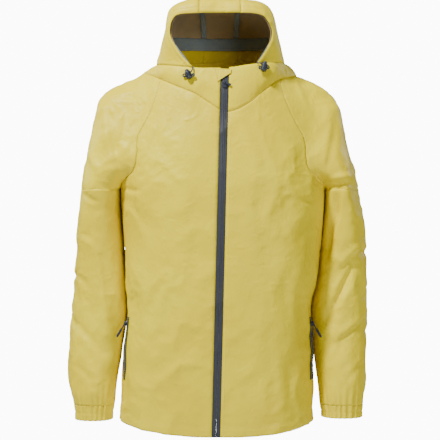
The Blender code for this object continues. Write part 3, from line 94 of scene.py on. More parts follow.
# From the hood's edge through the barrel, out in a small loop on each side of it, and back in.
def makeCord(name):
    row = locks[name]
    matrix = Matrix(row["frame"])
    route = [Vector(place) for place in row["hood"]]
    route += [matrix @ Vector((row["inward"] * end * (cordSize["clear"] + beyond), along, 0))
              for end, beyond, along in loopRoute]
    points = smoothLine(route, cordSize["points"])
    curve = bpy.data.curves.new("drawcord_" + name, "CURVE")
    curve.dimensions = "3D"
    curve.bevel_depth = cordSize["radius"]
    curve.bevel_resolution = cordSize["roundness"]
    curve.use_fill_caps = True
    spline = curve.splines.new("POLY")
    spline.points.add(len(points) - 1)
    spline.points.foreach_set("co", np.concatenate([points, np.ones((len(points), 1))], 1).ravel())
    spline.use_smooth = True
    made = bpy.data.objects.new("drawcord_" + name, curve)
    bpy.context.scene.collection.objects.link(made)
    bpy.ops.object.select_all(action="DESELECT")
    made.select_set(True)
    bpy.context.view_layer.objects.active = made
    bpy.ops.object.convert(target="MESH")
    made = bpy.context.view_layer.objects.active
    made.select_set(False)
    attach(made, "garment")
    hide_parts("cord_" + name, "cord_loop_inner_" + name, "cord_loop_outer_" + name)
    return made


cords = {name: makeCord(name) for name in locks}


# sizes of the garment's form, the same as the solids have
form = {
    "wall": 0.0010, "seamGap": 0.00030, "layGap": 0.00035, "zipHalf": 0.0086,
    "underarm": -0.250, "pivotInset": 0.090, "sleevePower": 2.3, "blend": 0.060, "blendRise": 0.090,
    "armClear": 0.0012, "stride": 0.0003, "seamRise": 0.0040, "through": 0.045, "edgeThin": 0.5,
}
cuffSize = {"seam": -0.6900, "end": {-1: -0.7215, 1: -0.7165}, "waves": 26, "depth": 0.0016}
hoodSize = {
    "seam": 0.042, "nape": 0.036, "origin": (0.0, 0.020, 0.045),
    "domeStart": 0.075, "domeTop": 0.1410, "frontPower": 3.2, "backPower": 2.2,
}
# how finely each panel is laid out, as numbers of cells
steps = {"front": 12, "chest": 34, "sleeve": 100, "yoke": 34, "nape": 24, "side": 116, "arm": 76,
         "samples": 30, "hang": 112, "cuff": 14, "collar": 16, "crown": 44, "edge": 30}


# Named columns from rows of numbers.
def table(names, rows):
    columns = zip(*rows)
    return {name: np.array(column, float) for name, column in zip(names.split(), columns)}


# Body sections: half widths to the wearer's right (-X) and left (+X), depths to front and back.
bodyTable = table("z right left front back power", [
    (-0.745, 0.2050, 0.1905, 0.1360, 0.1270, 2.6),
    (-0.650, 0.2040, 0.1935, 0.1390, 0.1290, 2.6),
    (-0.585, 0.2015, 0.1925, 0.1410, 0.1310, 2.6),
    (-0.500, 0.1910, 0.1885, 0.1425, 0.1320, 2.6),
    (-0.420, 0.1950, 0.2020, 0.1425, 0.1330, 2.6),
    (-0.350, 0.1990, 0.2100, 0.1420, 0.1340, 2.5),
    (-0.250, 0.2050, 0.2165, 0.1390, 0.1350, 2.5),
    (-0.200, 0.2000, 0.2100, 0.1345, 0.1340, 2.5),
    (-0.150, 0.1890, 0.1970, 0.1265, 0.1310, 2.45),
    (-0.095, 0.1700, 0.1750, 0.1130, 0.1240, 2.35),
    (-0.060, 0.1550, 0.1580, 0.1060, 0.1180, 2.3),
    (-0.030, 0.1400, 0.1420, 0.0990, 0.1120, 2.25),
    (0.000, 0.1280, 0.1290, 0.0920, 0.1060, 2.2),
    (0.030, 0.1180, 0.1190, 0.0850, 0.1000, 2.2),
])

# Hanging sleeve: outer edges seen from the front, free inner edges, middle and half depth.
sleeveTable = table("z right_out left_out right_in left_in middle depth", [
    (-0.7250, 0.2970, 0.2910, 0.2225, 0.2105, -0.022, 0.0440),
    (-0.7050, 0.2980, 0.2925, 0.2205, 0.2090, -0.022, 0.0450),
    (-0.6850, 0.3010, 0.2940, 0.2175, 0.2060, -0.020, 0.0490),
    (-0.6600, 0.3065, 0.2960, 0.2140, 0.2035, -0.015, 0.0560),
    (-0.6200, 0.3095, 0.2995, 0.2085, 0.1975, -0.005, 0.0620),
    (-0.5700, 0.3095, 0.3030, 0.1950, 0.1900, 0.006, 0.0660),
    (-0.5000, 0.3060, 0.3065, 0.1800, 0.1800, 0.016, 0.0700),
    (-0.4200, 0.3025, 0.3045, 0.1800, 0.1800, 0.020, 0.0740),
    (-0.3400, 0.2985, 0.3010, 0.1800, 0.1800, 0.016, 0.0800),
    (-0.2500, 0.2870, 0.2850, 0.1800, 0.1800, 0.004, 0.0860),
])

# Shoulder rings, by the turn about the pivot line: reach of the outline, middle and half depth.
shoulderTable = table("turn right_out left_out middle depth", [
    (0, 0.1720, 0.1585, 0.004, 0.0860),
    (11, 0.1710, 0.1557, 0.005, 0.0890),
    (22, 0.1740, 0.1580, 0.007, 0.0920),
    (33, 0.1860, 0.1650, 0.009, 0.0910),
    (42, 0.2000, 0.1755, 0.010, 0.0880),
    (50, 0.2185, 0.1930, 0.011, 0.0830),
    (56, 0.2322, 0.2105, 0.012, 0.0770),
    (62, 0.2378, 0.2235, 0.012, 0.0720),
    (72, 0.2402, 0.2305, 0.011, 0.0660),
    (84, 0.2468, 0.2345, 0.010, 0.0610),
    (95, 0.2620, 0.2530, 0.010, 0.0580),
])

# Raglan seam: angle ahead of and behind the side, by height.
raglanTable = table("z front back", [
    (-0.2500, 0.0, 0.0),
    (-0.2470, 8.0, 8.0),
    (-0.2350, 13.0, 13.0),
    (-0.2100, 18.0, 18.0),
    (-0.1800, 21.5, 21.0),
    (-0.1450, 25.5, 24.0),
    (-0.1040, 29.0, 28.0),
    (-0.0600, 30.0, 29.5),
    (-0.0250, 27.0, 28.0),
    (0.0000, 26.0, 27.0),
])

# Neck seam heights, by angle from the side: 90 is the front middle, -90 the back middle.
neckTable = table("turn right left", [
    (-90, -0.0140, -0.0140),
    (-60, -0.0100, -0.0100),
    (-27, -0.0040, -0.0070),
    (0, -0.0050, -0.0125),
    (12, -0.0130, -0.0180),
    (27, -0.0264, -0.0270),
    (45, -0.0420, -0.0500),
    (63, -0.0570, -0.0800),
    (76, -0.0730, -0.0930),
    (90, -0.0920, -0.0970),
])

# Top line of the stand collar, where the hood is sewn on.
collarTopTable = table("turn right left", [
    (-90, 0.0300, 0.0300),
    (-45, 0.0220, 0.0230),
    (0, 0.0100, 0.0130),
    (30, 0.0030, 0.0090),
    (51, -0.0025, 0.0040),
    (61, -0.0045, 0.0010),
    (75, -0.0055, -0.0035),
    (90, -0.0055, -0.0055),
])

# Hood sections, like the body's, with how square each is in front and behind.
hoodTable = table("z right left front back front_power back_power", [
    (-0.020, 0.1420, 0.1420, 0.1000, 0.1060, 2.3, 2.3),
    (0.010, 0.1320, 0.1350, 0.0990, 0.1160, 2.8, 2.3),
    (0.034, 0.1230, 0.1290, 0.0975, 0.1300, 3.7, 2.3),
    (0.062, 0.1165, 0.1206, 0.0965, 0.1430, 5.0, 2.4),
    (0.083, 0.1130, 0.1150, 0.0960, 0.1480, 5.5, 2.4),
    (0.104, 0.1105, 0.1120, 0.0960, 0.1470, 5.0, 2.4),
    (0.150, 0.1100, 0.1100, 0.0960, 0.1450, 4.0, 2.4),
])

# Face opening from the centre seam at the brim down to its bottom corner.
openingTable = table("z_right right z_left left", [
    (0.1055, 0.0420, 0.1060, 0.0420),
    (0.1050, 0.0580, 0.1060, 0.0560),
    (0.1045, 0.0740, 0.1050, 0.0700),
    (0.1020, 0.0880, 0.1020, 0.0850),
    (0.0940, 0.0960, 0.0930, 0.0950),
    (0.0820, 0.1005, 0.0810, 0.1020),
    (0.0690, 0.1018, 0.0690, 0.1060),
    (0.0540, 0.0982, 0.0560, 0.1045),
    (0.0390, 0.0892, 0.0400, 0.0975),
    (0.0210, 0.0778, 0.0250, 0.0890),
    (0.0070, 0.0655, 0.0130, 0.0810),
    (-0.0045, 0.0535, 0.0040, 0.0745),
])

# Where the hood's front corner meets the collar, as angles from the side.
cornerTurn = {-1: 61.0, 1: 51.0}
joinTurn = 26.5  # front and back raglan seams meet the neck seam here
napeTurn = -72.0  # centre seam meets the collar here


# Value of a column, by a smooth curve through the rows that never overshoots them.
def read(columns, key, name, at):
    keys = columns[key]
    values = columns[name]
    steps = np.diff(keys)
    slopes = np.diff(values) / steps
    product = slopes[:-1] * slopes[1:]
    total = slopes[:-1] + slopes[1:]
    inner = np.where(product > 0, 2 * product / np.where(np.abs(total) > 1e-9, total, 1), 0)
    tangents = np.concatenate([slopes[:1], inner, slopes[-1:]])
    at = np.clip(np.asarray(at, float), keys[0], keys[-1])
    row = np.clip(np.searchsorted(keys, at, side="right") - 1, 0, len(steps) - 1)
    step = steps[row]
    t = (at - keys[row]) / step
    start = values[row] * (1 + 2 * t) * (1 - t) ** 2 + tangents[row] * step * t * (1 - t) ** 2
    end = values[row + 1] * t * t * (3 - 2 * t) - tangents[row + 1] * step * t * t * (1 - t)
    return start + end


def ease(value):
    value = np.clip(value, 0, 1)
    return value * value * (3 - 2 * value)


def unit(vectors):
    length = np.linalg.norm(vectors, axis=-1, keepdims=True)
    return vectors / np.maximum(length, 1e-9)


# Radial distance from a point to an oval; negative inside.
def ovalGap(along, across, halfAlong, halfAcross, power):
    reach = np.hypot(along, across) + 1e-7
    scale = (np.abs(along / halfAlong) ** power + np.abs(across / halfAcross) ** power)
    return reach - reach / np.maximum(scale ** (1 / power), 1e-6)


def sideName(side):
    return "left" if side > 0 else "right"


# One column where a number is above nought, another where it isn't.
def eitherOf(columns, where, above, below, z):
    return np.where(where > 0, read(columns, "z", above, z), read(columns, "z", below, z))


def bodyHalf(z, side):
    return read(bodyTable, "z", sideName(side), z)


# How far points lie outside the body without its sleeves; negative inside.
def torsoGap(points):
    x, y, z = points[..., 0], points[..., 1], points[..., 2]
    half = eitherOf(bodyTable, x, "left", "right", z)
    depth = eitherOf(bodyTable, -y, "front", "back", z)
    return ovalGap(x, y, half, depth, read(bodyTable, "z", "power", z))


# The line that a raised sleeve's rings turn about.
def pivotX(side):
    return float(bodyHalf(form["underarm"], side)) - form["pivotInset"]


# Inner edge of a hanging sleeve that just clears the body, by height.
def contact(side):
    z = np.linspace(-0.745, form["underarm"], 80)
    outer = read(sleeveTable, "z", sideName(side) + "_out", z)
    middle = read(sleeveTable, "z", "middle", z)
    depth = read(sleeveTable, "z", "depth", z)
    y = np.linspace(-0.085, 0.105, 60)[:, None]
    half = bodyHalf(z, side)
    bodyDepth = eitherOf(bodyTable, -y, "front", "back", z)
    power = read(bodyTable, "z", "power", z)
    body = half * (1 - np.abs(y / bodyDepth) ** power) ** (1 / power)
    share = ease((form["underarm"] - z) / 0.030)
    clear = form["armClear"] * share + form["seamGap"] * (1 - share)
    inner = half + clear
    rounding = form["sleevePower"]
    for _ in range(6):
        bulge = np.maximum(1 - np.abs((y - middle) / depth) ** rounding, 0) ** (1 / rounding)
        edge = (inner + outer) / 2 - (outer - inner) / 2 * bulge
        inner = inner - (np.min(edge - body, axis=0) - clear)
    return z, inner


# Centre, half width, middle and half depth of the hanging sleeve at a height.
def sleeveSection(z, side):
    outer = read(sleeveTable, "z", sideName(side) + "_out", z)
    free = read(sleeveTable, "z", sideName(side) + "_in", z)
    close = np.interp(z, *armContact[side])
    soft = 0.004 ** 2 * ease((form["underarm"] - z) / 0.2)
    inner = 0.5 * (free + close + np.sqrt((free - close) ** 2 + soft))
    middle = read(sleeveTable, "z", "middle", z)
    depth = read(sleeveTable, "z", "depth", z)
    return (inner + outer) / 2, (outer - inner) / 2, middle, depth


armContact = {side: contact(side) for side in (-1, 1)}


# The same for a shoulder ring; turn in radians about the pivot line.
def shoulderSection(turn, side):
    degrees = np.degrees(turn)
    outer = read(shoulderTable, "turn", sideName(side) + "_out", degrees)
    inner = (armContact[side][1][-1] - pivotX(side)) * (1 - ease(degrees / 60))
    middle = read(shoulderTable, "turn", "middle", degrees)
    depth = read(shoulderTable, "turn", "depth", degrees)
    return (inner + outer) / 2, (outer - inner) / 2, middle, depth


# How far points lie outside a sleeve: hanging below the underarm, rings about the pivot line above it.
def sleeveGap(points, side):
    x, y, z = points[..., 0] * side, points[..., 1], points[..., 2]
    centre, half, middle, depth = sleeveSection(z, side)
    hanging = ovalGap(x - centre, y - middle, half, depth, form["sleevePower"])
    away = x - pivotX(side)
    rise = np.maximum(z - form["underarm"], 0)
    turn = np.arctan2(rise, away)
    reach = np.hypot(rise, away)
    centre, half, middle, depth = shoulderSection(turn, side)
    raised = ovalGap(reach - centre, y - middle, half, depth, form["sleevePower"])
    raised = raised + reach * np.maximum(turn - math.radians(100), 0)
    return np.where(z < form["underarm"], hanging, raised)


# Body and sleeves together, with a soft valley between them above the underarm.
def bodyGap(points):
    torso = torsoGap(points)
    sleeve = np.where(points[..., 0] > 0, sleeveGap(points, 1), sleeveGap(points, -1))
    softness = form["blend"] * ease((points[..., 2] - form["underarm"]) / form["blendRise"]) + 1e-9
    share = np.maximum(softness - np.abs(torso - sleeve), 0) / softness
    return np.minimum(torso, sleeve) - share * share * softness / 4


def hoodGap(points):
    x, y, z = points[..., 0], points[..., 1], points[..., 2]
    half = eitherOf(hoodTable, x, "left", "right", z)
    depth = eitherOf(hoodTable, -y, "front", "back", z)
    power = eitherOf(hoodTable, -y, "front_power", "back_power", z)
    dome = np.maximum(z - hoodSize["domeStart"], 0) / (hoodSize["domeTop"] - hoodSize["domeStart"])
    domePower = hoodSize["frontPower"] + (hoodSize["backPower"] - hoodSize["frontPower"]) * ease(y / depth)
    level = np.abs(x / half) ** power + np.abs(y / depth) ** power + dome ** domePower
    return 0.1 * (level ** (1 / power) - 1)


# Halves the span in which each ray leaves the form.
def closeIn(gap, origins, directions, near, far, times):
    for _ in range(times):
        middle = (near + far) / 2
        outside = gap(origins + directions * middle[..., None]) > 0
        far = np.where(outside, middle, far)
        near = np.where(outside, near, middle)
    return origins + directions * far[..., None]


# First place along each ray where the form ends.
def march(gap, origins, directions, reach=0.45, steps=90):
    shape = origins.shape[:-1]
    near = np.zeros(shape)
    far = np.full(shape, reach)
    found = np.zeros(shape, bool)
    for distance in np.linspace(reach / steps, reach, steps):
        outside = gap(origins + directions * distance) > 0
        new = outside & ~found
        far = np.where(new, distance, far)
        near = np.where(new, distance - reach / steps, near)
        found |= outside
    return closeIn(gap, origins, directions, near, far, 22)


# Where each ray leaves a form that holds a simpler core, in steps that grow from the core's face.
def marchOn(gap, core, origins, directions, reach):
    start = np.linalg.norm(march(core, origins, directions, reach, 60) - origins, axis=-1)
    near = start.copy()
    far = start + reach
    found = np.zeros(start.shape, bool)
    distance = start
    stride = form["stride"]
    while stride < reach / 10:
        distance = distance + stride
        outside = gap(origins + directions * distance[..., None]) > 0
        new = outside & ~found
        far = np.where(new, distance, far)
        near = np.where(new, distance - stride, near)
        found |= outside
        stride *= 1.13
    return closeIn(gap, origins, directions, near, far, 20)


# Unit normals of a form at points on it.
def outward(gap, points, step=0.0008):
    slopes = []
    for axis in np.eye(3):
        slopes.append(gap(points + axis * step) - gap(points - axis * step))
    return unit(np.stack(slopes, axis=-1))


# Level rays from the upright axis, by angle (degrees, 0 at +X, 90 in front) and height.
def levelRays(turn, z):
    turn, z = np.broadcast_arrays(np.radians(turn), z)
    none = np.zeros_like(z)
    return z, np.stack([none, none, z], axis=-1), np.stack([np.cos(turn), -np.sin(turn), none], axis=-1)


def onBody(turn, z):
    z, origins, directions = levelRays(turn, z)
    alone = z < form["underarm"] + form["seamRise"]
    return marchOn(lambda p: np.where(alone, torsoGap(p), bodyGap(p)), torsoGap, origins, directions, 0.35)


def onHood(turn, z):
    z, origins, directions = levelRays(turn, z)
    return march(hoodGap, origins, directions, reach=0.2, steps=40)


# Angle from the side, ahead positive, as an angle round the body.
def worldTurn(side, turn):
    turn = np.asarray(turn, float)
    return turn if side > 0 else 180 - turn


# Grid between four edges; rows run from bottom to top, columns from left to right.
def coons(bottom, top, left, right):
    u = np.linspace(0, 1, len(bottom))[None, :, None]
    v = np.linspace(0, 1, len(left))[:, None, None]
    across = (1 - v) * bottom[None] + v * top[None]
    along = (1 - u) * left[:, None] + u * right[:, None]
    corners = ((1 - v) * ((1 - u) * bottom[0] + u * bottom[-1])
               + v * ((1 - u) * top[0] + u * top[-1]))
    return across + along - corners


# Draws a grid's sewn edges in by a hair, so that neighbours don't touch.
def trim(grid, edges, amount=0.00003):
    grid = grid.copy()
    for edge, first, second in (("b", 0, 1), ("t", -1, -2)):
        if edge in edges:
            grid[first] += unit(grid[second] - grid[first]) * amount
    for edge, first, second in (("l", 0, 1), ("r", -1, -2)):
        if edge in edges:
            grid[:, first] += unit(grid[:, second] - grid[:, first]) * amount
    return grid


# Middle of the front zip, which hangs a little off upright.
def zipLine(z):
    return 0.0094 + (np.asarray(z, float) + 0.030) * 0.0244


# Angle from the side of the zip's edge.
def zipTurn(side, z, depth):
    return np.degrees(np.arctan2(depth, zipLine(z) * side + form["zipHalf"]))


def neckHeight(side, turn):
    return read(neckTable, "turn", sideName(side), turn)


def frontDepth(z):
    return read(bodyTable, "z", "front", z)


# Angles of the neck seam's columns, from the zip to the back middle.
def neckTurns(side):
    start = float(zipTurn(side, neckHeight(side, 88.0), frontDepth(neckHeight(side, 88.0))))
    stops = [start, cornerTurn[side], joinTurn, -joinTurn, napeTurn, -90.0]
    counts = [steps["front"], steps["chest"], steps["sleeve"], steps["yoke"], steps["nape"] // 2]
    turns = [np.linspace(a, b, n, endpoint=False) for a, b, n in zip(stops, stops[1:], counts)]
    return np.concatenate([*turns, [-90.0]])


# Seam points, collar top points and the directions that the walls share along them.
def neckLine(side):
    turns = neckTurns(side)
    seam = onBody(worldTurn(side, turns), neckHeight(side, turns))
    topZ = float(read(collarTopTable, "turn", sideName(side), 90.0))
    start = float(zipTurn(side, topZ, read(hoodTable, "z", "front", topZ)))
    topTurns = turns.copy()
    topTurns[:steps["front"] + 1] = np.linspace(start, cornerTurn[side], steps["front"] + 1)
    top = onHood(worldTurn(side, topTurns), read(collarTopTable, "turn", sideName(side), topTurns))
    up = unit(top - seam)
    along = unit(np.gradient(seam, axis=0))
    collar = unit(np.cross(along, up)) * -side
    flip = np.sign(np.sum(collar * seam * [1, 1, 0], axis=-1, keepdims=True))
    collar = collar * flip
    seamNormals = unit(collar + outward(bodyGap, seam))
    topNormals = unit(collar + outward(hoodGap, top))
    return {"turns": turns, "seam": seam, "top": top, "collar": collar,
            "seam_normals": seamNormals, "top_normals": topNormals}


neckLines = {side: neckLine(side) for side in (-1, 1)}


# One neck line's values from the right side over the back to the left, from a column on.
def acrossNeck(name, start=0):
    return np.concatenate([neckLines[-1][name][start:], neckLines[1][name][start:][-2::-1]])


cornerAt = steps["front"]
frontAt = steps["front"] + steps["chest"]
backAt = frontAt + steps["sleeve"]
napeAt = backAt + steps["yoke"]


# Angles beyond which level rays meet the body and not the sleeve, one for each height.
def valley(side, facing, z):
    turns, levels = np.meshgrid(np.linspace(1, 50, 99), z)
    points = onBody(worldTurn(side, turns * facing), levels)
    misses = ~(torsoGap(points) < sleeveGap(points, side))
    last = turns.shape[1] - 1 - np.argmax(misses[:, ::-1], axis=1)
    return np.where(misses.any(axis=1), turns[0, last] + 1.0, 0.0)


# Seam from the underarm to the neck, in even steps: angles from the side, heights, points.
def raglan(side, facing):
    top = float(neckHeight(side, facing * joinTurn))
    z = form["underarm"] + (top - form["underarm"]) * np.linspace(0, 1, steps["samples"]) ** 2
    turns = read(raglanTable, "z", "front" if facing > 0 else "back", z)
    turns[-1] = joinTurn
    least = np.concatenate([[0.0], valley(side, facing, z[1:-1]) + 2, [0.0]])
    turns = np.maximum(turns, least)
    for _ in range(3):
        turns[1:-1] = 0.25 * turns[:-2] + 0.5 * turns[1:-1] + 0.25 * turns[2:]
    turns = np.maximum(turns, least) * facing
    points = onBody(worldTurn(side, turns), z)
    lengths = np.concatenate([[0], np.cumsum(np.linalg.norm(np.diff(points, axis=0), axis=-1))])
    even = np.linspace(0, 1, steps["arm"] + 1) ** 1.2 * lengths[-1]
    turns = np.interp(even, lengths, turns)
    z = np.interp(even, lengths, z)
    points = onBody(worldTurn(side, turns), z)
    return turns, z, points


raglans = {(side, facing): raglan(side, facing) for side in (-1, 1) for facing in (-1, 1)}


# The hem is level in front and behind and rises a little at the sides.
def hemHeight(turn):
    return -0.7440 + 0.0220 * np.cos(np.radians(turn)) ** 4


# Direction both walls share along the seam: half way between the faces that meet there.
def armholeOut(side, facing):
    turns, z, points = raglans[side, facing]
    panel = onBody(worldTurn(side, turns + 6 * facing), z)
    places = sleeveAngles(points, side)
    sleeve = onShoulder(places[:, 0], places[:, 1] - 0.35 * facing, side)
    both = outward(bodyGap, panel) + outward(bodyGap, sleeve)
    downward = np.array([0, 0, -0.3]) * ease(1 - (z[:, None] - form["underarm"]) / 0.03)
    return unit(both + downward) * form["edgeThin"]


# Turn about the pivot line and angle within its ring, ahead positive.
def sleeveAngles(points, side):
    away = points[..., 0] * side - pivotX(side)
    rise = points[..., 2] - form["underarm"]
    turn = np.arctan2(np.maximum(rise, 0), away)
    reach = np.hypot(rise, away)
    centre, _, middle, _ = shoulderSection(turn, side)
    return np.stack([turn, np.arctan2(middle - points[..., 1], reach - centre)], -1)


def onShoulder(turn, angle, side):
    centre, _, middle, _ = shoulderSection(turn, side)
    out = np.stack([np.cos(turn) * side, np.zeros_like(turn), np.sin(turn)], -1)
    pivot = np.array([pivotX(side) * side, 0, form["underarm"]])
    origins = pivot + out * centre[..., None] + np.array([0, 1, 0]) * middle[..., None]
    ahead = np.array([0, -1, 0])
    directions = out * np.cos(angle)[..., None] + ahead * np.sin(angle)[..., None]
    points = marchOn(bodyGap, lambda p: sleeveGap(p, side), origins, directions, 0.3)
    alone = march(lambda p: sleeveGap(p, side), origins, directions, reach=0.3, steps=70)
    through = np.linalg.norm(points - alone, axis=-1) > form["through"]
    points[through] = alone[through]
    return points


# Point of the hanging sleeve at a height and angle, with gathers of a given depth.
def sleeveRing(z, angle, side, waves=0.0):
    centre, half, middle, depth = sleeveSection(z, side)
    power = form["sleevePower"]
    scale = (np.abs(np.cos(angle) / half) ** power + np.abs(np.sin(angle) / depth) ** power)
    uneven = 0.8 * np.sin(3 * angle) + 0.5 * np.sin(7 * angle)
    reach = scale ** (-1 / power) + waves * np.cos(cuffSize["waves"] * angle + uneven)
    x = side * (centre + reach * np.cos(angle))
    return np.stack([x, middle - reach * np.sin(angle), z + 0 * angle], -1)


def ringNormals(points, side):
    return outward(lambda p: sleeveGap(p, side), points)


def hoodRays(directions, inset=0.0):
    origins = np.broadcast_to(np.array(hoodSize["origin"]), directions.shape)
    points = march(hoodGap, origins, unit(directions), reach=0.22, steps=44)
    normals = outward(hoodGap, points)
    return points - normals * inset, normals


# Edge of the face opening from the brim's seam down to the corner.
def openingEdge(side, count):
    name = sideName(side)
    x = openingTable[name]
    z = openingTable["z_" + name]
    rows = table("at x z", list(zip(range(len(x)), x, z)))
    at = np.linspace(0, len(x) - 1, count)
    x = read(rows, "at", "x", at)
    z = read(rows, "at", "z", at)
    origins = np.stack([side * x, 0 * x, z], -1)
    ahead = np.broadcast_to(np.array([0.0, -1.0, 0.0]), origins.shape)
    return march(hoodGap, origins, ahead, reach=0.12, steps=60)


# Seam between centre and side panels, from the brim over the crown to the nape.
def centreSeam(side, count):
    line = neckLines[side]
    start = openingEdge(side, 2)[0] - hoodSize["origin"]
    end = line["top"][napeAt] - hoodSize["origin"]
    first = math.atan2(start[2], -start[1])
    last = math.atan2(end[2], -end[1]) + 2 * math.pi
    last = last - 2 * math.pi if last - first > math.pi * 1.5 else last
    turns = np.linspace(first, last, count)
    width = np.linspace(hoodSize["seam"], hoodSize["nape"], count)
    origins = np.stack([side * width, *(np.full(count, hoodSize["origin"][k]) for k in (1, 2))], -1)
    directions = np.stack([0 * turns, -np.cos(turns), np.sin(turns)], -1)
    points = march(hoodGap, origins, directions, reach=0.22, steps=44)
    points[0] = start + hoodSize["origin"]
    points[-1] = line["top"][napeAt]
    return points


def centreGrid(countRows, countColumns):
    left = centreSeam(-1, countRows)
    right = centreSeam(1, countRows)
    share = np.linspace(0, 1, countColumns)[None, :, None]
    return left[:, None] * (1 - share) + right[:, None] * share


# Points of a column at fractional row numbers.
def atRows(points, rows):
    numbers = np.arange(len(points))
    return np.stack([np.interp(rows, numbers, points[:, k]) for k in range(3)], -1)


# Fractional row number where a column that rises from first to last reaches a height.
def rowAtHeight(points, z, first, last):
    numbers = np.linspace(first, last, 60)
    heights = atRows(points, numbers)[:, 2]
    return float(np.interp(z, heights, numbers))


print("jacket: form ready")


# materials: colours, grain and weave from nodes
def nodeGroup(name, inputs, outputs):
    made = bpy.data.node_groups.new(name, "ShaderNodeTree")
    for label, kind, value in inputs:
        socket = made.interface.new_socket(label, in_out="INPUT", socket_type=kind)
        if value is not None:
            socket.default_value = value
    for label, kind in outputs:
        made.interface.new_socket(label, in_out="OUTPUT", socket_type=kind)
    return made, made.nodes.new("NodeGroupInput"), made.nodes.new("NodeGroupOutput")


def mathNode(tree, kind, first, second=None):
    made = tree.nodes.new("ShaderNodeMath")
    made.operation = kind
    for slot, value in enumerate((first, second)):
        if value is None:
            continue
        if isinstance(value, (int, float)):
            made.inputs[slot].default_value = value
        else:
            tree.links.new(value, made.inputs[slot])
    return made.outputs[0]


# Woven threads over and under, from the cloth's own lengths.
def weaveGroup():
    tree, given, result = nodeGroup(
        "clothWeave",
        [("Vector", "NodeSocketVector", None), ("Threads", "NodeSocketFloat", 1800.0),
         ("Ripstop", "NodeSocketFloat", 0.0)],
        [("Height", "NodeSocketFloat"), ("Grid", "NodeSocketFloat")])
    parts = tree.nodes.new("ShaderNodeSeparateXYZ")
    tree.links.new(given.outputs["Vector"], parts.inputs[0])
    waves, ribs = [], []
    for axis in (0, 1):
        turns = mathNode(tree, "MULTIPLY", parts.outputs[axis], given.outputs["Threads"])
        waves.append(mathNode(tree, "SINE", mathNode(tree, "MULTIPLY", turns, 3.14159)))
        rib = mathNode(tree, "FRACT", mathNode(tree, "MULTIPLY", parts.outputs[axis], 190.0))
        ribs.append(mathNode(tree, "GREATER_THAN", rib, 0.88))
    over = mathNode(tree, "MULTIPLY", waves[0], waves[1])
    either = mathNode(tree, "MAXIMUM", ribs[0], ribs[1])
    grid = mathNode(tree, "MULTIPLY", either, given.outputs["Ripstop"])
    height = mathNode(tree, "ADD", mathNode(tree, "MULTIPLY", over, 0.5), grid)
    tree.links.new(height, result.inputs["Height"])
    tree.links.new(grid, result.inputs["Grid"])
    return tree


# Small crinkles of thin cloth, sharp-ridged, in two sizes.
def crinkleGroup():
    tree, given, result = nodeGroup(
        "clothCrinkle",
        [("Vector", "NodeSocketVector", None), ("Scale", "NodeSocketFloat", 55.0),
         ("Detail", "NodeSocketFloat", 3.0)],
        [("Height", "NodeSocketFloat"), ("Patches", "NodeSocketFloat")])
    heights = []
    for factor, share in ((1.0, 1.0), (2.7, 0.4)):
        made = tree.nodes.new("ShaderNodeTexNoise")
        made.noise_type = "RIDGED_MULTIFRACTAL"
        tree.links.new(given.outputs["Vector"], made.inputs["Vector"])
        tree.links.new(mathNode(tree, "MULTIPLY", given.outputs["Scale"], factor), made.inputs["Scale"])
        tree.links.new(given.outputs["Detail"], made.inputs["Detail"])
        made.inputs["Distortion"].default_value = 0.7
        heights.append(mathNode(tree, "MULTIPLY", made.outputs["Fac"], share))
    patches = tree.nodes.new("ShaderNodeTexNoise")
    patches.inputs["Scale"].default_value = 7.0
    patches.inputs["Detail"].default_value = 2.0
    tree.links.new(given.outputs["Vector"], patches.inputs["Vector"])
    tree.links.new(mathNode(tree, "ADD", heights[0], heights[1]), result.inputs["Height"])
    tree.links.new(patches.outputs["Fac"], result.inputs["Patches"])
    return tree


weave = weaveGroup()
crinkle = crinkleGroup()


def use(tree, kind, **values):
    made = tree.nodes.new("ShaderNodeGroup")
    made.node_tree = kind
    for label, value in values.items():
        if isinstance(value, (int, float)):
            made.inputs[label].default_value = value
        else:
            tree.links.new(value, made.inputs[label])
    return made


def mixColour(tree, share, first, second, blend="MIX"):
    made = tree.nodes.new("ShaderNodeMix")
    made.data_type = "RGBA"
    made.blend_type = blend
    made.clamp_factor = True
    for slot, value in ((0, share), (6, first), (7, second)):
        if isinstance(value, (int, float)):
            made.inputs[slot].default_value = value
        elif isinstance(value, tuple):
            made.inputs[slot].default_value = (*value, 1)
        else:
            tree.links.new(value, made.inputs[slot])
    return made.outputs[2]


def spread(tree, value, low, high, first, last):
    made = tree.nodes.new("ShaderNodeMapRange")
    tree.links.new(value, made.inputs[0])
    for slot, number in zip((1, 2, 3, 4), (low, high, first, last)):
        made.inputs[slot].default_value = number
    return made.outputs[0]


def blank(name, roughness, **constants):
    made = bpy.data.materials.new(name)
    made.use_nodes = True
    tree = made.node_tree
    shader = tree.nodes["Principled BSDF"]
    shader.inputs["Roughness"].default_value = roughness
    for label, value in constants.items():
        shader.inputs[label.replace("_", " ")].default_value = value
    where = tree.nodes.new("ShaderNodeTexCoord")
    return made, tree, shader, where


def bump(tree, shader, steps):
    normal = None
    for height, distance, strength in steps:
        made = tree.nodes.new("ShaderNodeBump")
        made.inputs["Distance"].default_value = distance
        made.inputs["Strength"].default_value = strength
        tree.links.new(height, made.inputs["Height"])
        if normal is not None:
            tree.links.new(normal, made.inputs["Normal"])
        normal = made.outputs["Normal"]
    tree.links.new(normal, shader.inputs["Normal"])


# Coated yellow nylon: a little gloss outside, deeper and duller inside.
clothLook = {"lit": (0.850, 0.700, 0.006), "deep": (0.800, 0.625, 0.003), "inside": (0.900, 0.700, 0.030),
             "roughness": 0.46, "crinkleScale": 34.0, "crinkleDepth": 0.0030}


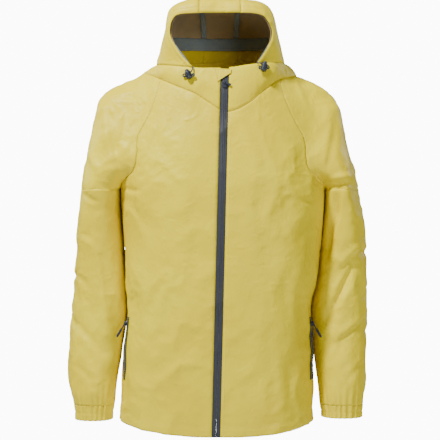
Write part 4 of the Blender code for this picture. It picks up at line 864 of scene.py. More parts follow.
def clothMaterial():
    made, tree, shader, where = blank("yellowNylon", clothLook["roughness"], Specular_IOR_Level=0.22)
    threads = use(tree, weave, Vector=where.outputs["UV"], Threads=2400.0, Ripstop=0.5)
    creased = use(tree, crinkle, Vector=where.outputs["Object"], Scale=clothLook["crinkleScale"],
                  Detail=3.0)
    side = tree.nodes.new("ShaderNodeAttribute")
    side.attribute_name = "inside"
    patches = spread(tree, creased.outputs["Patches"], 0.35, 0.65, 0.0, 1.0)
    face = mixColour(tree, patches, clothLook["deep"], clothLook["lit"])
    # ripstop grid lines painted paler: a painted highlight on the raised grid threads; the grid itself is
    # real
    lines = mathNode(tree, "MULTIPLY", threads.outputs["Grid"], 0.10)
    ripstopHighlighted = mixColour(tree, lines, face, (0.86, 0.74, 0.14))
    colour = mixColour(tree, side.outputs["Fac"], ripstopHighlighted, clothLook["inside"])
    tree.links.new(colour, shader.inputs["Base Color"])
    rough = clothLook["roughness"]
    gloss = spread(tree, creased.outputs["Patches"], 0.3, 0.7, rough - 0.05, rough + 0.07)
    tree.links.new(gloss, shader.inputs["Roughness"])
    bump(tree, shader, [(creased.outputs["Height"], clothLook["crinkleDepth"], 0.55),
                        (threads.outputs["Height"], 0.00006, 0.5)])
    return made


# Knitted mesh lining: round holes in staggered rows, painted as darker gold dots: the holes are real, their
# dark colour is painted shade of the shell behind them.
meshLook = {"yarn": (0.360, 0.275, 0.140), "shadeInHoles": (0.220, 0.165, 0.075), "pitch": 620.0}


def meshMaterial():
    made, tree, shader, where = blank("liningMesh", 0.85, Sheen_Weight=0.25)
    holes = tree.nodes.new("ShaderNodeTexVoronoi")
    holes.inputs["Scale"].default_value = meshLook["pitch"]
    holes.inputs["Randomness"].default_value = 0.15
    tree.links.new(where.outputs["UV"], holes.inputs["Vector"])
    creased = use(tree, crinkle, Vector=where.outputs["Object"], Scale=42.0, Detail=2.0)
    ring = spread(tree, holes.outputs["Distance"], 0.18, 0.36, 0.0, 1.0)
    yarn = mixColour(tree, spread(tree, creased.outputs["Patches"], 0.3, 0.7, 0.0, 1.0),
                     meshLook["yarn"], tuple(1.35 * part for part in meshLook["yarn"]))
    # holes painted dark gold: painted shade standing in for the shadowed shell seen through them
    tree.links.new(mixColour(tree, ring, meshLook["shadeInHoles"], yarn), shader.inputs["Base Color"])
    bump(tree, shader, [(creased.outputs["Height"], 0.0010, 0.5), (ring, 0.0002, 0.6)])
    return made


# Dark woven tapes: twill lines painted lighter on the threads' crests, a painted highlight, and a faint
# dusting.
def tapeMaterial(name, colour, lines, roughness):
    made, tree, shader, where = blank(name, roughness, Sheen_Weight=0.1)
    threads = use(tree, weave, Vector=where.outputs["UV"], Threads=lines, Ripstop=0.0)
    creased = use(tree, crinkle, Vector=where.outputs["Object"], Scale=120.0, Detail=2.0)
    light = mixColour(tree, spread(tree, creased.outputs["Patches"], 0.3, 0.7, 0.0, 1.0),
                      colour, tuple(1.3 * part for part in colour))
    # thread crests painted up to 1.8 times lighter by the weave's height: painted highlight
    crestsHighlighted = mixColour(tree, spread(tree, threads.outputs["Height"], -0.5, 0.5, 0.0, 0.35), light,
                      tuple(1.8 * part for part in colour))
    tree.links.new(crestsHighlighted, shader.inputs["Base Color"])
    bump(tree, shader, [(creased.outputs["Height"], 0.0004, 0.4), (threads.outputs["Height"], 0.00012, 0.6)])
    return made


# Moulded plastic: satin, with a fine grain and slightly polished high places.
def plasticMaterial():
    made, tree, shader, where = blank("mouldedPlastic", 0.36, Specular_IOR_Level=0.5)
    creased = use(tree, crinkle, Vector=where.outputs["Object"], Scale=420.0, Detail=2.0)
    colour = mixColour(tree, creased.outputs["Patches"], (0.024, 0.030, 0.045), (0.034, 0.041, 0.058))
    tree.links.new(colour, shader.inputs["Base Color"])
    tree.links.new(spread(tree, creased.outputs["Height"], 0.0, 2.0, 0.30, 0.46), shader.inputs["Roughness"])
    bump(tree, shader, [(creased.outputs["Height"], 0.00012, 0.4)])
    return made


# Braided elastic cord: crossing strands by the cord's own length, their raised bands painted lighter as a
# painted highlight.
def cordMaterial():
    made, tree, shader, where = blank("braidedCord", 0.75, Sheen_Weight=0.3)
    strands = tree.nodes.new("ShaderNodeTexWave")
    strands.wave_type = "BANDS"
    strands.bands_direction = "DIAGONAL"
    strands.inputs["Scale"].default_value = 420.0
    strands.inputs["Distortion"].default_value = 1.5
    tree.links.new(where.outputs["Object"], strands.inputs["Vector"])
    # raised strand bands painted lighter: painted highlight following the same pattern as the bump
    colour = mixColour(tree, strands.outputs["Fac"], (0.018, 0.022, 0.020), (0.055, 0.062, 0.060))
    tree.links.new(colour, shader.inputs["Base Color"])
    bump(tree, shader, [(strands.outputs["Fac"], 0.0003, 0.7)])
    return made


# Sewing thread, a shade lighter than the cloth, twisted.
def threadMaterial():
    made, tree, shader, where = blank("sewingThread", 0.6, Sheen_Weight=0.2)
    creased = use(tree, crinkle, Vector=where.outputs["Object"], Scale=900.0, Detail=1.0)
    colour = mixColour(tree, creased.outputs["Patches"], (0.74, 0.58, 0.05), (0.84, 0.70, 0.10))
    tree.links.new(colour, shader.inputs["Base Color"])
    bump(tree, shader, [(creased.outputs["Height"], 0.0001, 0.5)])
    return made


nylon = clothMaterial()
liningMesh = meshMaterial()
darkTape = tapeMaterial("hoodTape", (0.170, 0.215, 0.230), 900.0, 0.72)
zipTape = tapeMaterial("zipTape", (0.017, 0.021, 0.029), 1300.0, 0.62)
plastic = plasticMaterial()
cordLook = cordMaterial()
thread = threadMaterial()
print("jacket: materials ready")


# small shapes of the cloth: grain, crumples and listed folds
slopesOfGrain = unit(np.random.default_rng(11).normal(size=(256, 3)))
shuffled = np.random.default_rng(12).permutation(256)


# Smooth noise from -1 to 1 with lumps of a given size.
def grain(points, size, seed=0):
    place = np.asarray(points, float) / size + seed * 17.3
    cell = np.floor(place).astype(int)
    inside = place - cell
    fade = inside ** 3 * (inside * (inside * 6 - 15) + 10)
    total = 0
    for corner in np.ndindex(2, 2, 2):
        at = (cell + corner) % 256
        key = shuffled[(at[..., 2] + shuffled[(at[..., 1] + shuffled[at[..., 0]]) % 256]) % 256]
        slope = np.sum(slopesOfGrain[key] * (inside - corner), axis=-1)
        share = np.prod(np.where(np.array(corner) > 0, fade, 1 - fade), axis=-1)
        total = total + slope * share
    return total * 1.6


# How much the thin nylon crumples, metres: slow swells, sharp ridges, small crinkles.
crumpleSize = {"swell": 0.0030, "ridge": 0.0064, "crinkle": 0.0024, "swellSize": 0.110, "ridgeSize": 0.046,
               "crinkleSize": 0.020, "bend": 0.014}


def crumple(points):
    size = crumpleSize
    bent = points + size["bend"] * np.stack([grain(points, 0.07, seed) for seed in (1, 2, 3)], -1)
    hung = bent * [1.0, 1.0, 0.6]
    swell = grain(hung, size["swellSize"], 4)
    ridge = 0.33 - np.abs(grain(hung, size["ridgeSize"], 5))
    crinkle = 0.30 - np.abs(grain(bent, size["crinkleSize"], 6))
    busy = ease(0.55 + 0.9 * grain(points, 0.16, 7))
    ridges = size["ridge"] * ridge * (0.35 + 0.9 * busy)
    return size["swell"] * swell + ridges + size["crinkle"] * crinkle * busy


# The solids' largest folds: seen from the front (-1) or behind (1), ends, width, height.
folds = [
    (-1, -0.243, -0.070, -0.226, -0.140, 0.022, 0.0045),
    (-1, -0.226, -0.140, -0.207, -0.235, 0.020, 0.0040),
    (-1, 0.241, -0.080, 0.232, -0.180, 0.020, 0.0040),
    (-1, 0.276, -0.245, 0.236, -0.300, 0.018, -0.0040),
    (-1, 0.238, -0.250, 0.216, -0.385, 0.016, -0.0060),
    (-1, 0.272, -0.410, 0.220, -0.515, 0.016, -0.0040),
    (-1, 0.296, -0.380, 0.246, -0.420, 0.015, -0.0035),
    (-1, 0.300, -0.520, 0.240, -0.570, 0.015, -0.0035),
    (-1, -0.280, -0.265, -0.250, -0.290, 0.016, -0.0030),
    (-1, -0.262, -0.360, -0.236, -0.545, 0.016, 0.0035),
    (-1, -0.300, -0.520, -0.235, -0.580, 0.016, -0.0030),
    (1, -0.275, -0.280, -0.225, -0.360, 0.018, -0.0045),
    (1, -0.290, -0.440, -0.235, -0.500, 0.016, -0.0040),
    (1, 0.280, -0.300, 0.230, -0.370, 0.018, -0.0045),
    (1, 0.290, -0.460, 0.240, -0.530, 0.016, -0.0040),
    (1, -0.150, -0.180, -0.080, -0.420, 0.030, -0.0050),
    (1, 0.140, -0.200, 0.090, -0.440, 0.030, -0.0050),
]


# Fold ends put on the form by looking along Y.
def foldLines():
    lines = []
    for face, x1, z1, x2, z2, width, rise in folds:
        ends = np.array([[x1, face * 0.3, z1], [x2, face * 0.3, z2]])
        inward = np.array([[0, -face, 0], [0, -face, 0]], float)
        hits = march(lambda p: -bodyGap(p), ends, inward, reach=0.4, steps=200)
        lines.append((hits[0], hits[1], face, width, rise))
    return lines


foldsOnForm = foldLines()


# Height of the large folds.
def relief(points, normals):
    height = np.zeros(points.shape[:-1])
    for start, end, face, width, rise in foldsOnForm:
        line = end - start
        t = np.clip(((points - start) @ line) / (line @ line), 0, 1)
        away = np.linalg.norm(points - (start + t[..., None] * line), axis=-1)
        facing = ease(0.5 + 2 * face * normals[..., 1])
        height += rise * np.exp(-((away / width) ** 2)) * facing
    return height


# Creases in millimetres, as curves through three places seen from one side, with width and height.
# Front and back rows give x and z, right and left rows give y and z of the outer side.
creases = {
    "front": [
        (-240, -60, -223, -108, -210.5, -175, 6, -2.2),
        (-230, -126, -212, -170, -201, -235, 5.5, -2.6),
        (-201, -240, -180, -252, -156, -250, 6, -1.6),
        (-195, -265, -170, -295, -150, -330, 7.5, -1.4),
        (-280, -258, -264, -270, -248, -276, 5, -2.4),
        (-285, -340, -264, -348, -248, -365, 5.5, -2),
        (-256, -342, -244, -430, -234, -545, 6, 2.2),
        (-298, -425, -276, -440, -258, -470, 5.5, -1.8),
        (-302, -520, -272, -545, -240, -585, 6, -2),
        (-295, -610, -274, -625, -248, -660, 5.5, -1.4),
        (-275, -170, -256, -195, -240, -232, 6.5, 1.8),
        (239, -93, 230, -150, 216, -210, 6, -2.6),
        (270, -238, 248, -239, 220, -244, 5.5, -3.4),
        (268, -226, 248, -223, 226, -228, 6, 2.6),
        (236, -252, 226, -310, 214, -387, 5.5, -3.4),
        (250, -260, 242, -310, 230, -350, 6, 2.4),
        (298, -374, 274, -390, 246, -414, 5, -2.6),
        (296, -356, 276, -370, 256, -386, 6, 1.6),
        (272, -408, 248, -455, 218, -512, 5.5, -3.4),
        (282, -418, 260, -462, 234, -506, 6, 2.2),
        (298, -518, 270, -538, 238, -564, 5, -2.6),
        (296, -602, 276, -620, 250, -650, 5.5, -1.4),
        (200, -260, 180, -274, 152, -268, 6, -1.6),
        (198, -285, 174, -320, 156, -360, 7.5, -1.4),
        (164, -390, 148, -460, 156, -530, 10, 1.4),
        (-156, -420, -142, -490, -150, -570, 11, 1.4),
        (-100, -520, -92, -610, -102, -710, 12, 1.2),
        (98, -540, 108, -620, 100, -720, 12, -1.2),
        (56, -230, 64, -320, 52, -430, 13, 1),
        (-70, -180, -76, -280, -62, -390, 13, 1),
    ],
    "back": [
        (-190, -120, -150, -170, -112, -260, 9, -2),
        (185, -110, 148, -175, 118, -270, 9, -2),
        (-175, -250, -120, -290, -50, -296, 8, -1.6),
        (180, -260, 125, -304, 62, -302, 8, -1.6),
        (-40, -150, -30, -320, -48, -470, 12, 1.8),
        (48, -170, 36, -350, 56, -520, 12, 1.6),
        (-130, -430, -50, -452, 30, -440, 8, -1.8),
        (150, -460, 90, -478, 20, -470, 8, -1.6),
        (-156, -520, -128, -620, -140, -720, 11, 1.8),
        (90, -540, 118, -630, 105, -730, 11, 1.8),
        (-20, -560, -32, -640, -18, -730, 12, -1.4),
        (-290, -390, -264, -412, -240, -408, 5.5, -2.4),
        (-288, -450, -260, -464, -234, -500, 6, -2.4),
        (290, -406, 264, -420, 240, -412, 5.5, -2.4),
        (290, -560, 266, -590, 244, -610, 6, -2),
        (-290, -590, -268, -610, -246, -650, 6, -2),
    ],
    "right": [
        (-30, -150, 10, -210, 45, -260, 7, -2.2),
        (50, -330, 10, -362, -30, -374, 6, -2.6),
        (60, -410, 15, -430, -30, -414, 6, -2.6),
        (52, -470, 10, -500, -28, -530, 6.5, -2.2),
        (20, -560, 0, -600, -30, -650, 7, 1.8),
    ],
    "left": [
        (-28, -160, 8, -215, 48, -250, 7, -2.2),
        (54, -350, 10, -378, -32, -368, 6, -2.6),
        (56, -430, 12, -446, -26, -472, 6, -2.6),
        (42, -520, 6, -542, -28, -540, 6.5, -2.2),
        (24, -590, -2, -620, -26, -660, 7, 1.8),
    ],
}
facings = {"front": (0, -1, 0), "back": (0, 1, 0), "right": (-1, 0, 0), "left": (1, 0, 0)}


creaseSize = {"gain": 1.5, "lip": 0.35, "lipAt": 1.9, "lipWidth": 1.1, "pieces": 14}


# Height of the drawn creases: each is deepest in the middle, with a soft lip on one side.
def drawnCreases(points, normals):
    size = creaseSize
    height = np.zeros(points.shape[:-1])
    rows = [(face, *(value / 1000 for value in row)) for face in creases for row in creases[face]]
    for face, a1, z1, a2, z2, a3, z3, width, rise in rows:
        look = np.array(facings[face], float)
        flat = points[..., (1, 2)] if face in ("right", "left") else points[..., (0, 2)]
        t = np.linspace(0, 1, size["pieces"] + 1)[:, None]
        middle = 2 * np.array([a2, z2]) - 0.5 * (np.array([a1, z1]) + np.array([a3, z3]))
        line = (1 - t) ** 2 * np.array([a1, z1]) + 2 * t * (1 - t) * middle + t * t * np.array([a3, z3])
        near = np.full(flat.shape[:-1], 9.0)
        share, signed = np.zeros(flat.shape[:-1]), np.zeros(flat.shape[:-1])
        for k in range(len(line) - 1):
            step = line[k + 1] - line[k]
            along = np.clip(((flat - line[k]) @ step) / (step @ step), 0, 1)
            off = flat - (line[k] + along[..., None] * step)
            reach = np.hypot(off[..., 0], off[..., 1])
            closer = reach < near
            near = np.where(closer, reach, near)
            share = np.where(closer, (k + along) / (len(line) - 1), share)
            signed = np.where(closer, off[..., 0] * step[1] - off[..., 1] * step[0], signed)
        taper = np.sin(np.pi * np.clip(0.08 + 0.84 * share, 0, 1)) ** 0.8
        lip = np.exp(-(((near - size["lipAt"] * width) / (size["lipWidth"] * width)) ** 2)) * (signed > 0)
        facing = ease(0.4 + 2.2 * (normals @ look))
        trough = np.exp(-((near / width) ** 2)) - size["lip"] * lip
        height += size["gain"] * rise * trough * taper * facing
    return height


# Nearness of body and sleeve below the underarm: 1 where they nearly touch, 0 a little further off.
def crowded(points):
    near = np.abs(torsoGap(points))
    sleeve = np.minimum(np.abs(sleeveGap(points, 1)), np.abs(sleeveGap(points, -1)))
    low = points[..., 2] < form["underarm"] + 0.004
    return np.where(low, 1 - ease((np.maximum(near, sleeve) - 0.004) / 0.014), 0.0)


# Moves cloth points of body and sleeves out by all their folds, less where they nearly touch.
def fold(points, normals):
    rise = relief(points, normals) + drawnCreases(points, normals) + crumple(points)
    tight = crowded(points)
    rise = np.where(rise > 0, rise * (1 - tight), rise * (1 - 0.6 * tight))
    return points + normals * rise[..., None]


# Lengths along a grid's rows and columns, metres.
def lengthsOf(grid):
    across = np.linalg.norm(np.diff(grid, axis=1), axis=-1)
    along = np.linalg.norm(np.diff(grid, axis=0), axis=-1)
    u = np.concatenate([np.zeros((len(grid), 1)), np.cumsum(across, axis=1)], 1)
    v = np.concatenate([np.zeros((1, grid.shape[1])), np.cumsum(along, axis=0)], 0)
    return u, v


# Cloth distance of every point from one edge: left, right, bottom or top.
def fromEdge(u, v, edge):
    return {"l": u, "r": u[:, -1:] - u, "b": v, "t": v[-1:] - v}[edge]


seamSize = {"dip": 0.0007, "dipWidth": 0.0030, "pucker": 0.0011, "puckerLength": 0.0085, "reach": 0.011}


# Sewn edges dip in a little and pucker, unevenly, at right angles to the seam.
def puckered(grid, normals, edges, amount=1.0):
    u, v = lengthsOf(grid)
    size = seamSize
    rise = np.zeros(grid.shape[:2])
    for edge in edges:
        away = fromEdge(u, v, edge)
        run = v if edge in "lr" else u
        flat = np.stack([run, 0 * run + ord(edge) * 0.31, 0 * run], -1)
        wave = grain(flat, size["puckerLength"], 3) + 0.5 * grain(flat, size["puckerLength"] * 2.3, 9)
        rise -= size["dip"] * np.exp(-((away / size["dipWidth"]) ** 2))
        near = np.exp(-away / size["reach"]) * ease(away / 0.004)
        rise += amount * size["pucker"] * wave * near
    return grid + normals * rise[..., None]


# Adds a mesh as a piece that rides on the garment.
def addPiece(name, mesh, finish):
    mesh.shade_smooth()
    mesh.materials.append(finish)
    made = bpy.data.objects.new(name, mesh)
    bpy.context.scene.collection.objects.link(made)
    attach(made, "garment")
    return made


# Closed thin wall from a grid of outer points, in place of a solid, with its cloth lengths as UV map.
def shell(node, grid, normals, finish=None, thick=form["wall"], ending="_cloth"):
    rows, columns = grid.shape[:2]
    inner = grid - normals * thick
    count = rows * columns
    points = np.concatenate([grid.reshape(-1, 3), inner.reshape(-1, 3)])
    across = grid[:-1, 1:] - grid[:-1, :-1]
    along = grid[1:, :-1] - grid[:-1, :-1]
    turned = np.sum(np.cross(across, along) * normals[:-1, :-1]) < 0
    a = (np.arange(rows - 1)[:, None] * columns + np.arange(columns - 1)[None]).ravel()
    outer = np.stack([a, a + 1, a + columns + 1, a + columns], -1)
    faces = [outer, outer[:, ::-1] + count]
    rim = list(range(columns))
    rim += [i * columns + columns - 1 for i in range(1, rows)]
    rim += [(rows - 1) * columns + j for j in range(columns - 2, -1, -1)]
    rim += [i * columns for i in range(rows - 2, 0, -1)]
    rim = np.array(rim)
    following = np.roll(rim, -1)
    faces.append(np.stack([following, rim, count + rim, count + following], -1))
    faces = np.concatenate(faces)
    if turned:
        faces = faces[:, ::-1]
    mesh = bpy.data.meshes.new(node + ending)
    mesh.from_pydata(points.tolist(), [], faces.tolist())
    u, v = lengthsOf(grid)
    u = u - u[:, columns // 2][:, None]
    flat = np.stack([u, v], -1).reshape(-1, 2)
    flat = np.concatenate([flat, flat])
    corners = np.zeros(len(mesh.loops), int)
    mesh.loops.foreach_get("vertex_index", corners)
    layer = mesh.uv_layers.new(name="cloth")
    layer.data.foreach_set("uv", flat[corners].ravel())
    inside = mesh.attributes.new("inside", "FLOAT", "POINT")
    inside.data.foreach_set("value", np.repeat([0.0, 1.0], count))
    made = addPiece(node + ending, mesh, finish or nylon)
    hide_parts(node)
    return made


stitchSize = {"length": 0.0026, "gap": 0.0012, "radius": 0.00028, "sides": 5, "lift": 0.00012}


# A row of thread: one small spindle for each stitch, laid along a path.
def stitches(name, path, normals):
    size = stitchSize
    lengths = np.concatenate([[0], np.cumsum(np.linalg.norm(np.diff(path, axis=0), axis=-1))])
    pitch = size["length"] + size["gap"]
    starts = np.arange(pitch / 2, lengths[-1] - pitch, pitch)
    sides = size["sides"]
    angles = np.arange(sides) * 2 * math.pi / sides
    points, faces = [], []
    for start in starts:
        at = start + size["length"] * np.array([0.0, 0.18, 0.5, 0.82, 1.0])
        spine = np.stack([np.interp(at, lengths, path[:, k]) for k in range(3)], -1)
        out = unit(np.array([np.interp(start, lengths, normals[:, k]) for k in range(3)]))
        ahead = unit(spine[-1] - spine[0])
        beside = np.cross(ahead, out)
        sink = np.array([-0.6, 0.4, 1.0, 0.4, -0.6]) * size["radius"] + size["lift"]
        base = len(points)
        points.append(spine[0] + out * sink[0])
        for k in (1, 2, 3):
            for angle in angles:
                points.append(spine[k] + out * (sink[k] + size["radius"] * math.sin(angle) * 0.8)
                              + beside * size["radius"] * math.cos(angle))
        points.append(spine[4] + out * sink[4])
        last = base + 1 + 3 * sides
        for k in range(sides):
            n = (k + 1) % sides
            faces.append((base, base + 1 + n, base + 1 + k))
            for ring in (0, 1):
                low = base + 1 + ring * sides
                faces.append((low + k, low + n, low + sides + n, low + sides + k))
            faces.append((last, base + 1 + 2 * sides + k, base + 1 + 2 * sides + n))
    mesh = bpy.data.meshes.new(name)
    mesh.from_pydata([tuple(p) for p in points], [], faces)
    return addPiece(name, mesh, thread)


# Path across a finished grid: a column or row at a cloth distance from an edge.
def pathBeside(grid, normals, edge, distance):
    u, v = lengthsOf(grid)
    away = fromEdge(u, v, edge)
    if edge in "bt":
        grid, normals, away = grid.swapaxes(0, 1), normals.swapaxes(0, 1), away.T
    flip = edge in "rt"
    path, outs = [], []
    for line, out, far in zip(grid, normals, away):
        order = slice(None, None, -1) if flip else slice(None)
        path.append([np.interp(distance, far[order], line[order, k]) for k in range(3)])
        outs.append([np.interp(distance, far[order], out[order, k]) for k in range(3)])
    return np.array(path), unit(np.array(outs))


# Normals of a finished grid, from its own slopes.
def gridNormals(grid, like):
    across = np.gradient(grid, axis=1)
    along = np.gradient(grid, axis=0)
    found = np.cross(across, along)
    found = found * np.sign(np.sum(found * like, axis=-1, keepdims=True))
    return unit(found + like * 1e-9)


hemSize = {"width": 0.019, "proud": 0.0006, "groove": 0.0005, "grooveWidth": 0.0016}


# Turned-up hem: a slightly proud band with a sewn groove above it.
def hemBand(grid, normals):
    _, v = lengthsOf(grid)
    band = ease((hemSize["width"] - v) / 0.003) * ease((v + 0.002) / 0.004) * hemSize["proud"]
    groove = hemSize["groove"] * np.exp(-(((v - hemSize["width"]) / hemSize["grooveWidth"]) ** 2))
    return grid + normals * (band - groove)[..., None]


# front panels, one each side of the zip
def makeFront(side):
    turns, z, _ = raglans[side, 1]
    line = neckLines[side]
    sideZ = np.linspace(float(hemHeight(0)), form["underarm"], steps["side"], endpoint=False)
    outer = np.stack([np.concatenate([np.zeros(steps["side"]), turns]), np.concatenate([sideZ, z])], -1)
    waist = form["underarm"] - 0.040
    neck = float(line["seam"][0, 2])
    low = np.linspace(float(hemHeight(90)), waist, steps["side"], endpoint=False)
    middleZ = np.concatenate([low, np.linspace(waist, neck, steps["arm"] + 1)])
    inner = np.stack([zipTurn(side, middleZ, frontDepth(middleZ)), middleZ], -1)
    top = np.stack([line["turns"][:frontAt + 1], line["seam"][:frontAt + 1, 2]], -1)
    inner[-1] = top[0]
    hemTurns = inner[0, 0] * (1 - np.linspace(0, 1, frontAt + 1))
    hem = np.stack([hemTurns, hemHeight(hemTurns)], -1)
    grid = coons(hem, top, inner, outer)
    points = onBody(worldTurn(side, grid[..., 0]), grid[..., 1])
    points[-1] = line["seam"][:frontAt + 1]
    normals = outward(bodyGap, points)
    points = fold(points, normals)
    points = hemBand(puckered(points, normals, "ltr"), normals)
    normals[steps["side"] + 1:, -1] = armholeOut(side, 1)[1:]
    normals[-1] = line["seam_normals"][:frontAt + 1]
    points = trim(points, "tr")
    return shell("front_" + sideName(side), points, normals), points, gridNormals(points, normals)


def makeBack():
    edges, tops = {}, {}
    for side in (-1, 1):
        turns, z, _ = raglans[side, -1]
        sideZ = np.linspace(float(hemHeight(0)), form["underarm"], steps["side"], endpoint=False)
        turn = worldTurn(side, np.concatenate([np.zeros(steps["side"]), turns]))
        turn = np.where(turn > 180, turn - 360, turn) if side > 0 else turn - 360
        edges[side] = np.stack([turn, np.concatenate([sideZ, z])], -1)
        line = neckLines[side]
        turn = worldTurn(side, line["turns"][backAt:])
        turn = turn if side > 0 else turn - 360
        tops[side] = np.stack([turn, line["seam"][backAt:, 2]], -1)
    top = np.concatenate([tops[-1], tops[1][-2::-1]])
    hemTurns = np.linspace(-180, 0, len(top))
    grid = coons(np.stack([hemTurns, hemHeight(hemTurns)], -1), top, edges[-1], edges[1])
    points = onBody(grid[..., 0], grid[..., 1])
    points[-1] = acrossNeck("seam", backAt)
    normals = outward(bodyGap, points)
    points = fold(points, normals)
    points = hemBand(puckered(points, normals, "tlr"), normals)
    normals[steps["side"] + 1:, 0] = armholeOut(-1, -1)[1:]
    normals[steps["side"] + 1:, -1] = armholeOut(1, -1)[1:]
    normals[-1] = acrossNeck("seam_normals", backAt)
    points = trim(points, "tlr")
    return shell("back", points, normals), points, gridNormals(points, normals)


fronts = {side: makeFront(side) for side in (-1, 1)}
back = makeBack()
print("jacket: body panels")


# Raglan sleeves: the seam gap widens from the underarm up, where the cloth folds back.
foldTrim = (0.0, 0.0010, 0.0017, 0.0018, 0.0016, 0.0012, 0.0007, 0.0004, 0.0003, 0.0002)
gatherFade = 0.034  # how far the cuff's gathers run up the sleeve


def makeSleeve(side):
    front, behind = raglans[side, 1][2], raglans[side, -1][2]
    line = neckLines[side]
    angles = np.linspace(-math.pi, math.pi, steps["sleeve"] + 1)
    right = sleeveAngles(front, side)
    left = sleeveAngles(behind, side)
    right[0] = (0, math.pi)
    left[0] = (0, -math.pi)
    neck = line["seam"][frontAt:backAt + 1][::-1]
    shared = line["seam_normals"][frontAt:backAt + 1][::-1]
    bottom = np.stack([np.zeros_like(angles), angles], -1)
    grid = coons(bottom, sleeveAngles(neck, side), left, right)
    upper = onShoulder(grid[..., 0], grid[..., 1], side)
    upper[0] = sleeveRing(np.full_like(angles, form["underarm"]), angles, side)
    upper[1:, 0] = behind[1:]
    upper[1:, -1] = front[1:]
    upper[-1] = neck
    low = cuffSize["seam"] + form["seamGap"] / 2
    levels = np.linspace(low, form["underarm"], steps["hang"], endpoint=False)
    z, angle = np.meshgrid(levels, angles, indexing="ij")
    gathers = cuffSize["depth"] * np.exp(-((z - cuffSize["seam"]) / gatherFade) ** 2)
    lower = sleeveRing(z, angle, side, gathers)
    normals = np.concatenate([ringNormals(lower, side), outward(bodyGap, upper)])
    row = len(lower)
    points = np.concatenate([lower, upper])
    normals[row] = ringNormals(upper[0], side)
    normals[0] = unit(normals[0] * [1, 1, 0])
    rise = 1 - np.exp(-((points[..., 2] - cuffSize["seam"]) / 0.020) ** 2)
    points = points + (fold(points, normals) - points) * rise[..., None]
    points[row:] = puckered(points[row:], normals[row:], "tlr")
    normals[row + 1:, 0] = armholeOut(side, -1)[1:]
    normals[row + 1:, -1] = armholeOut(side, 1)[1:]
    normals[-1] = shared
    points = trim(points, "tlr")
    extras = np.interp(np.arange(steps["arm"]) * 12 / steps["arm"], range(len(foldTrim)), foldTrim)
    for i, extra in enumerate(extras, row):
        points[i, 0] += unit(points[i, 1] - points[i, 0]) * extra
        points[i, -1] += unit(points[i, -2] - points[i, -1]) * extra
    made = shell("sleeve_" + sideName(side), points, normals)
    return made, points[row:], gridNormals(points, normals)[row:], points


# elasticated cuffs, with the elastic's seam round their middle
def makeCuff(side):
    angles = np.linspace(-math.pi, math.pi, cuffSize["waves"] * 8 + 1)
    low, high = cuffSize["end"][side], cuffSize["seam"] - form["seamGap"] / 2
    z, angle = np.meshgrid(np.linspace(low, high, steps["cuff"]), angles, indexing="ij")
    share = (z - low) / (high - low)
    depth = cuffSize["depth"] * (1 - 0.30 * np.exp(-((share - 0.5) / 0.12) ** 2))
    points = sleeveRing(z, angle, side, depth)
    normals = unit(ringNormals(sleeveRing(z, angle, side), side) * [1, 1, 0])
    groove = 0.0006 * np.exp(-((share - 0.5) / 0.07) ** 2) + 0.0006 * np.exp(-((share - 1) / 0.05) ** 2)
    roll = 0.0004 * np.exp(-((share - 0.08) / 0.10) ** 2)
    points = trim(points + normals * (roll - groove)[..., None], "lr")
    return shell("cuff_" + sideName(side), points, normals), points, normals


sleeves = {side: makeSleeve(side) for side in (-1, 1)}
cuffs = {side: makeCuff(side) for side in (-1, 1)}
print("jacket: sleeves and cuffs")


# stand collar, sewn to the folded neck line below and to the hood above
def makeCollar():
    seam, top, collar, low, high = map(acrossNeck, ("seam", "top", "collar", "seam_normals", "top_normals"))
    seam = fold(seam, outward(bodyGap, seam))
    share = np.linspace(0, 1, steps["collar"])[:, None, None]
    grid = seam[None] * (1 - share) + top[None] * share
    height = np.linalg.norm(top - seam, axis=-1)[None, :, None]
    grid = grid + collar[None] * (0.16 * height * share * (1 - share))
    normals = unit(collar[None] + 0 * share)
    u, _ = lengthsOf(grid)
    ends = ease(np.minimum(u, u[:, -1:] - u) / 0.030)
    window = np.sin(np.pi * share[..., 0]) * ends
    grid = grid + normals * (crumple(grid * [1.2, 1.2, 1.0]) * window * 1.1)[..., None]
    grid = puckered(grid, normals, "bt", 0.8)
    normals[0] = low
    normals[-1] = high
    grid = trim(grid, "bt")
    return shell("collar", grid, normals), grid, gridNormals(grid, normals)


collar = makeCollar()


# hood: two sides and a centre panel, with a cord tunnel round the face opening
tunnelSize = {"width": 0.0125, "proud": 0.0010, "groove": 0.0006}


# Crumples of the hood's cloth, fading at its seams, and the tunnel along the face opening.
def hoodFold(points, normals, fade, edges, tunnel=None):
    rise = crumple(points * [1.15, 1.15, 1.15] + 0.3) * fade
    rise = np.clip(rise, -0.0012, 0.0022)
    if tunnel is not None:
        proud = np.exp(-((tunnel / tunnelSize["width"] - 0.45) / 0.36) ** 2)
        rise = rise * ease(tunnel / 0.02) + tunnelSize["proud"] * proud
        rise -= tunnelSize["groove"] * np.exp(-((tunnel - tunnelSize["width"]) / 0.0016) ** 2)
    return puckered(points + normals * rise[..., None], normals, edges, 0.8)


def makeHoodSide(side):
    line = neckLines[side]
    bottom = line["top"][cornerAt:napeAt + 1]
    seam = centreSeam(side, steps["crown"] + steps["edge"] + 1)
    behind = seam[steps["crown"]:][::-1]
    crownShare = np.linspace(0, steps["crown"], len(bottom))
    crown = np.stack([np.interp(crownShare, range(steps["crown"] + 1), seam[:steps["crown"] + 1, k])
                      for k in range(3)], -1)
    front = openingEdge(side, steps["edge"] + 1)[::-1]
    front[0] = bottom[0]
    origin = hoodSize["origin"]
    points, normals = hoodRays(coons(bottom - origin, crown - origin, front - origin, behind - origin))
    points[-1] = crown
    points[0] = bottom
    plain = points.copy(), normals.copy()
    u, v = lengthsOf(points)
    fade = ease(v / 0.014)
    points = hoodFold(points, normals, fade, "btr", u)
    ends = normals.copy()
    ends[0] = line["top_normals"][cornerAt:napeAt + 1]
    points = trim(points, "btr")
    made = shell("hood_" + sideName(side), points, ends)
    return plain, made, points, gridNormals(points, normals)


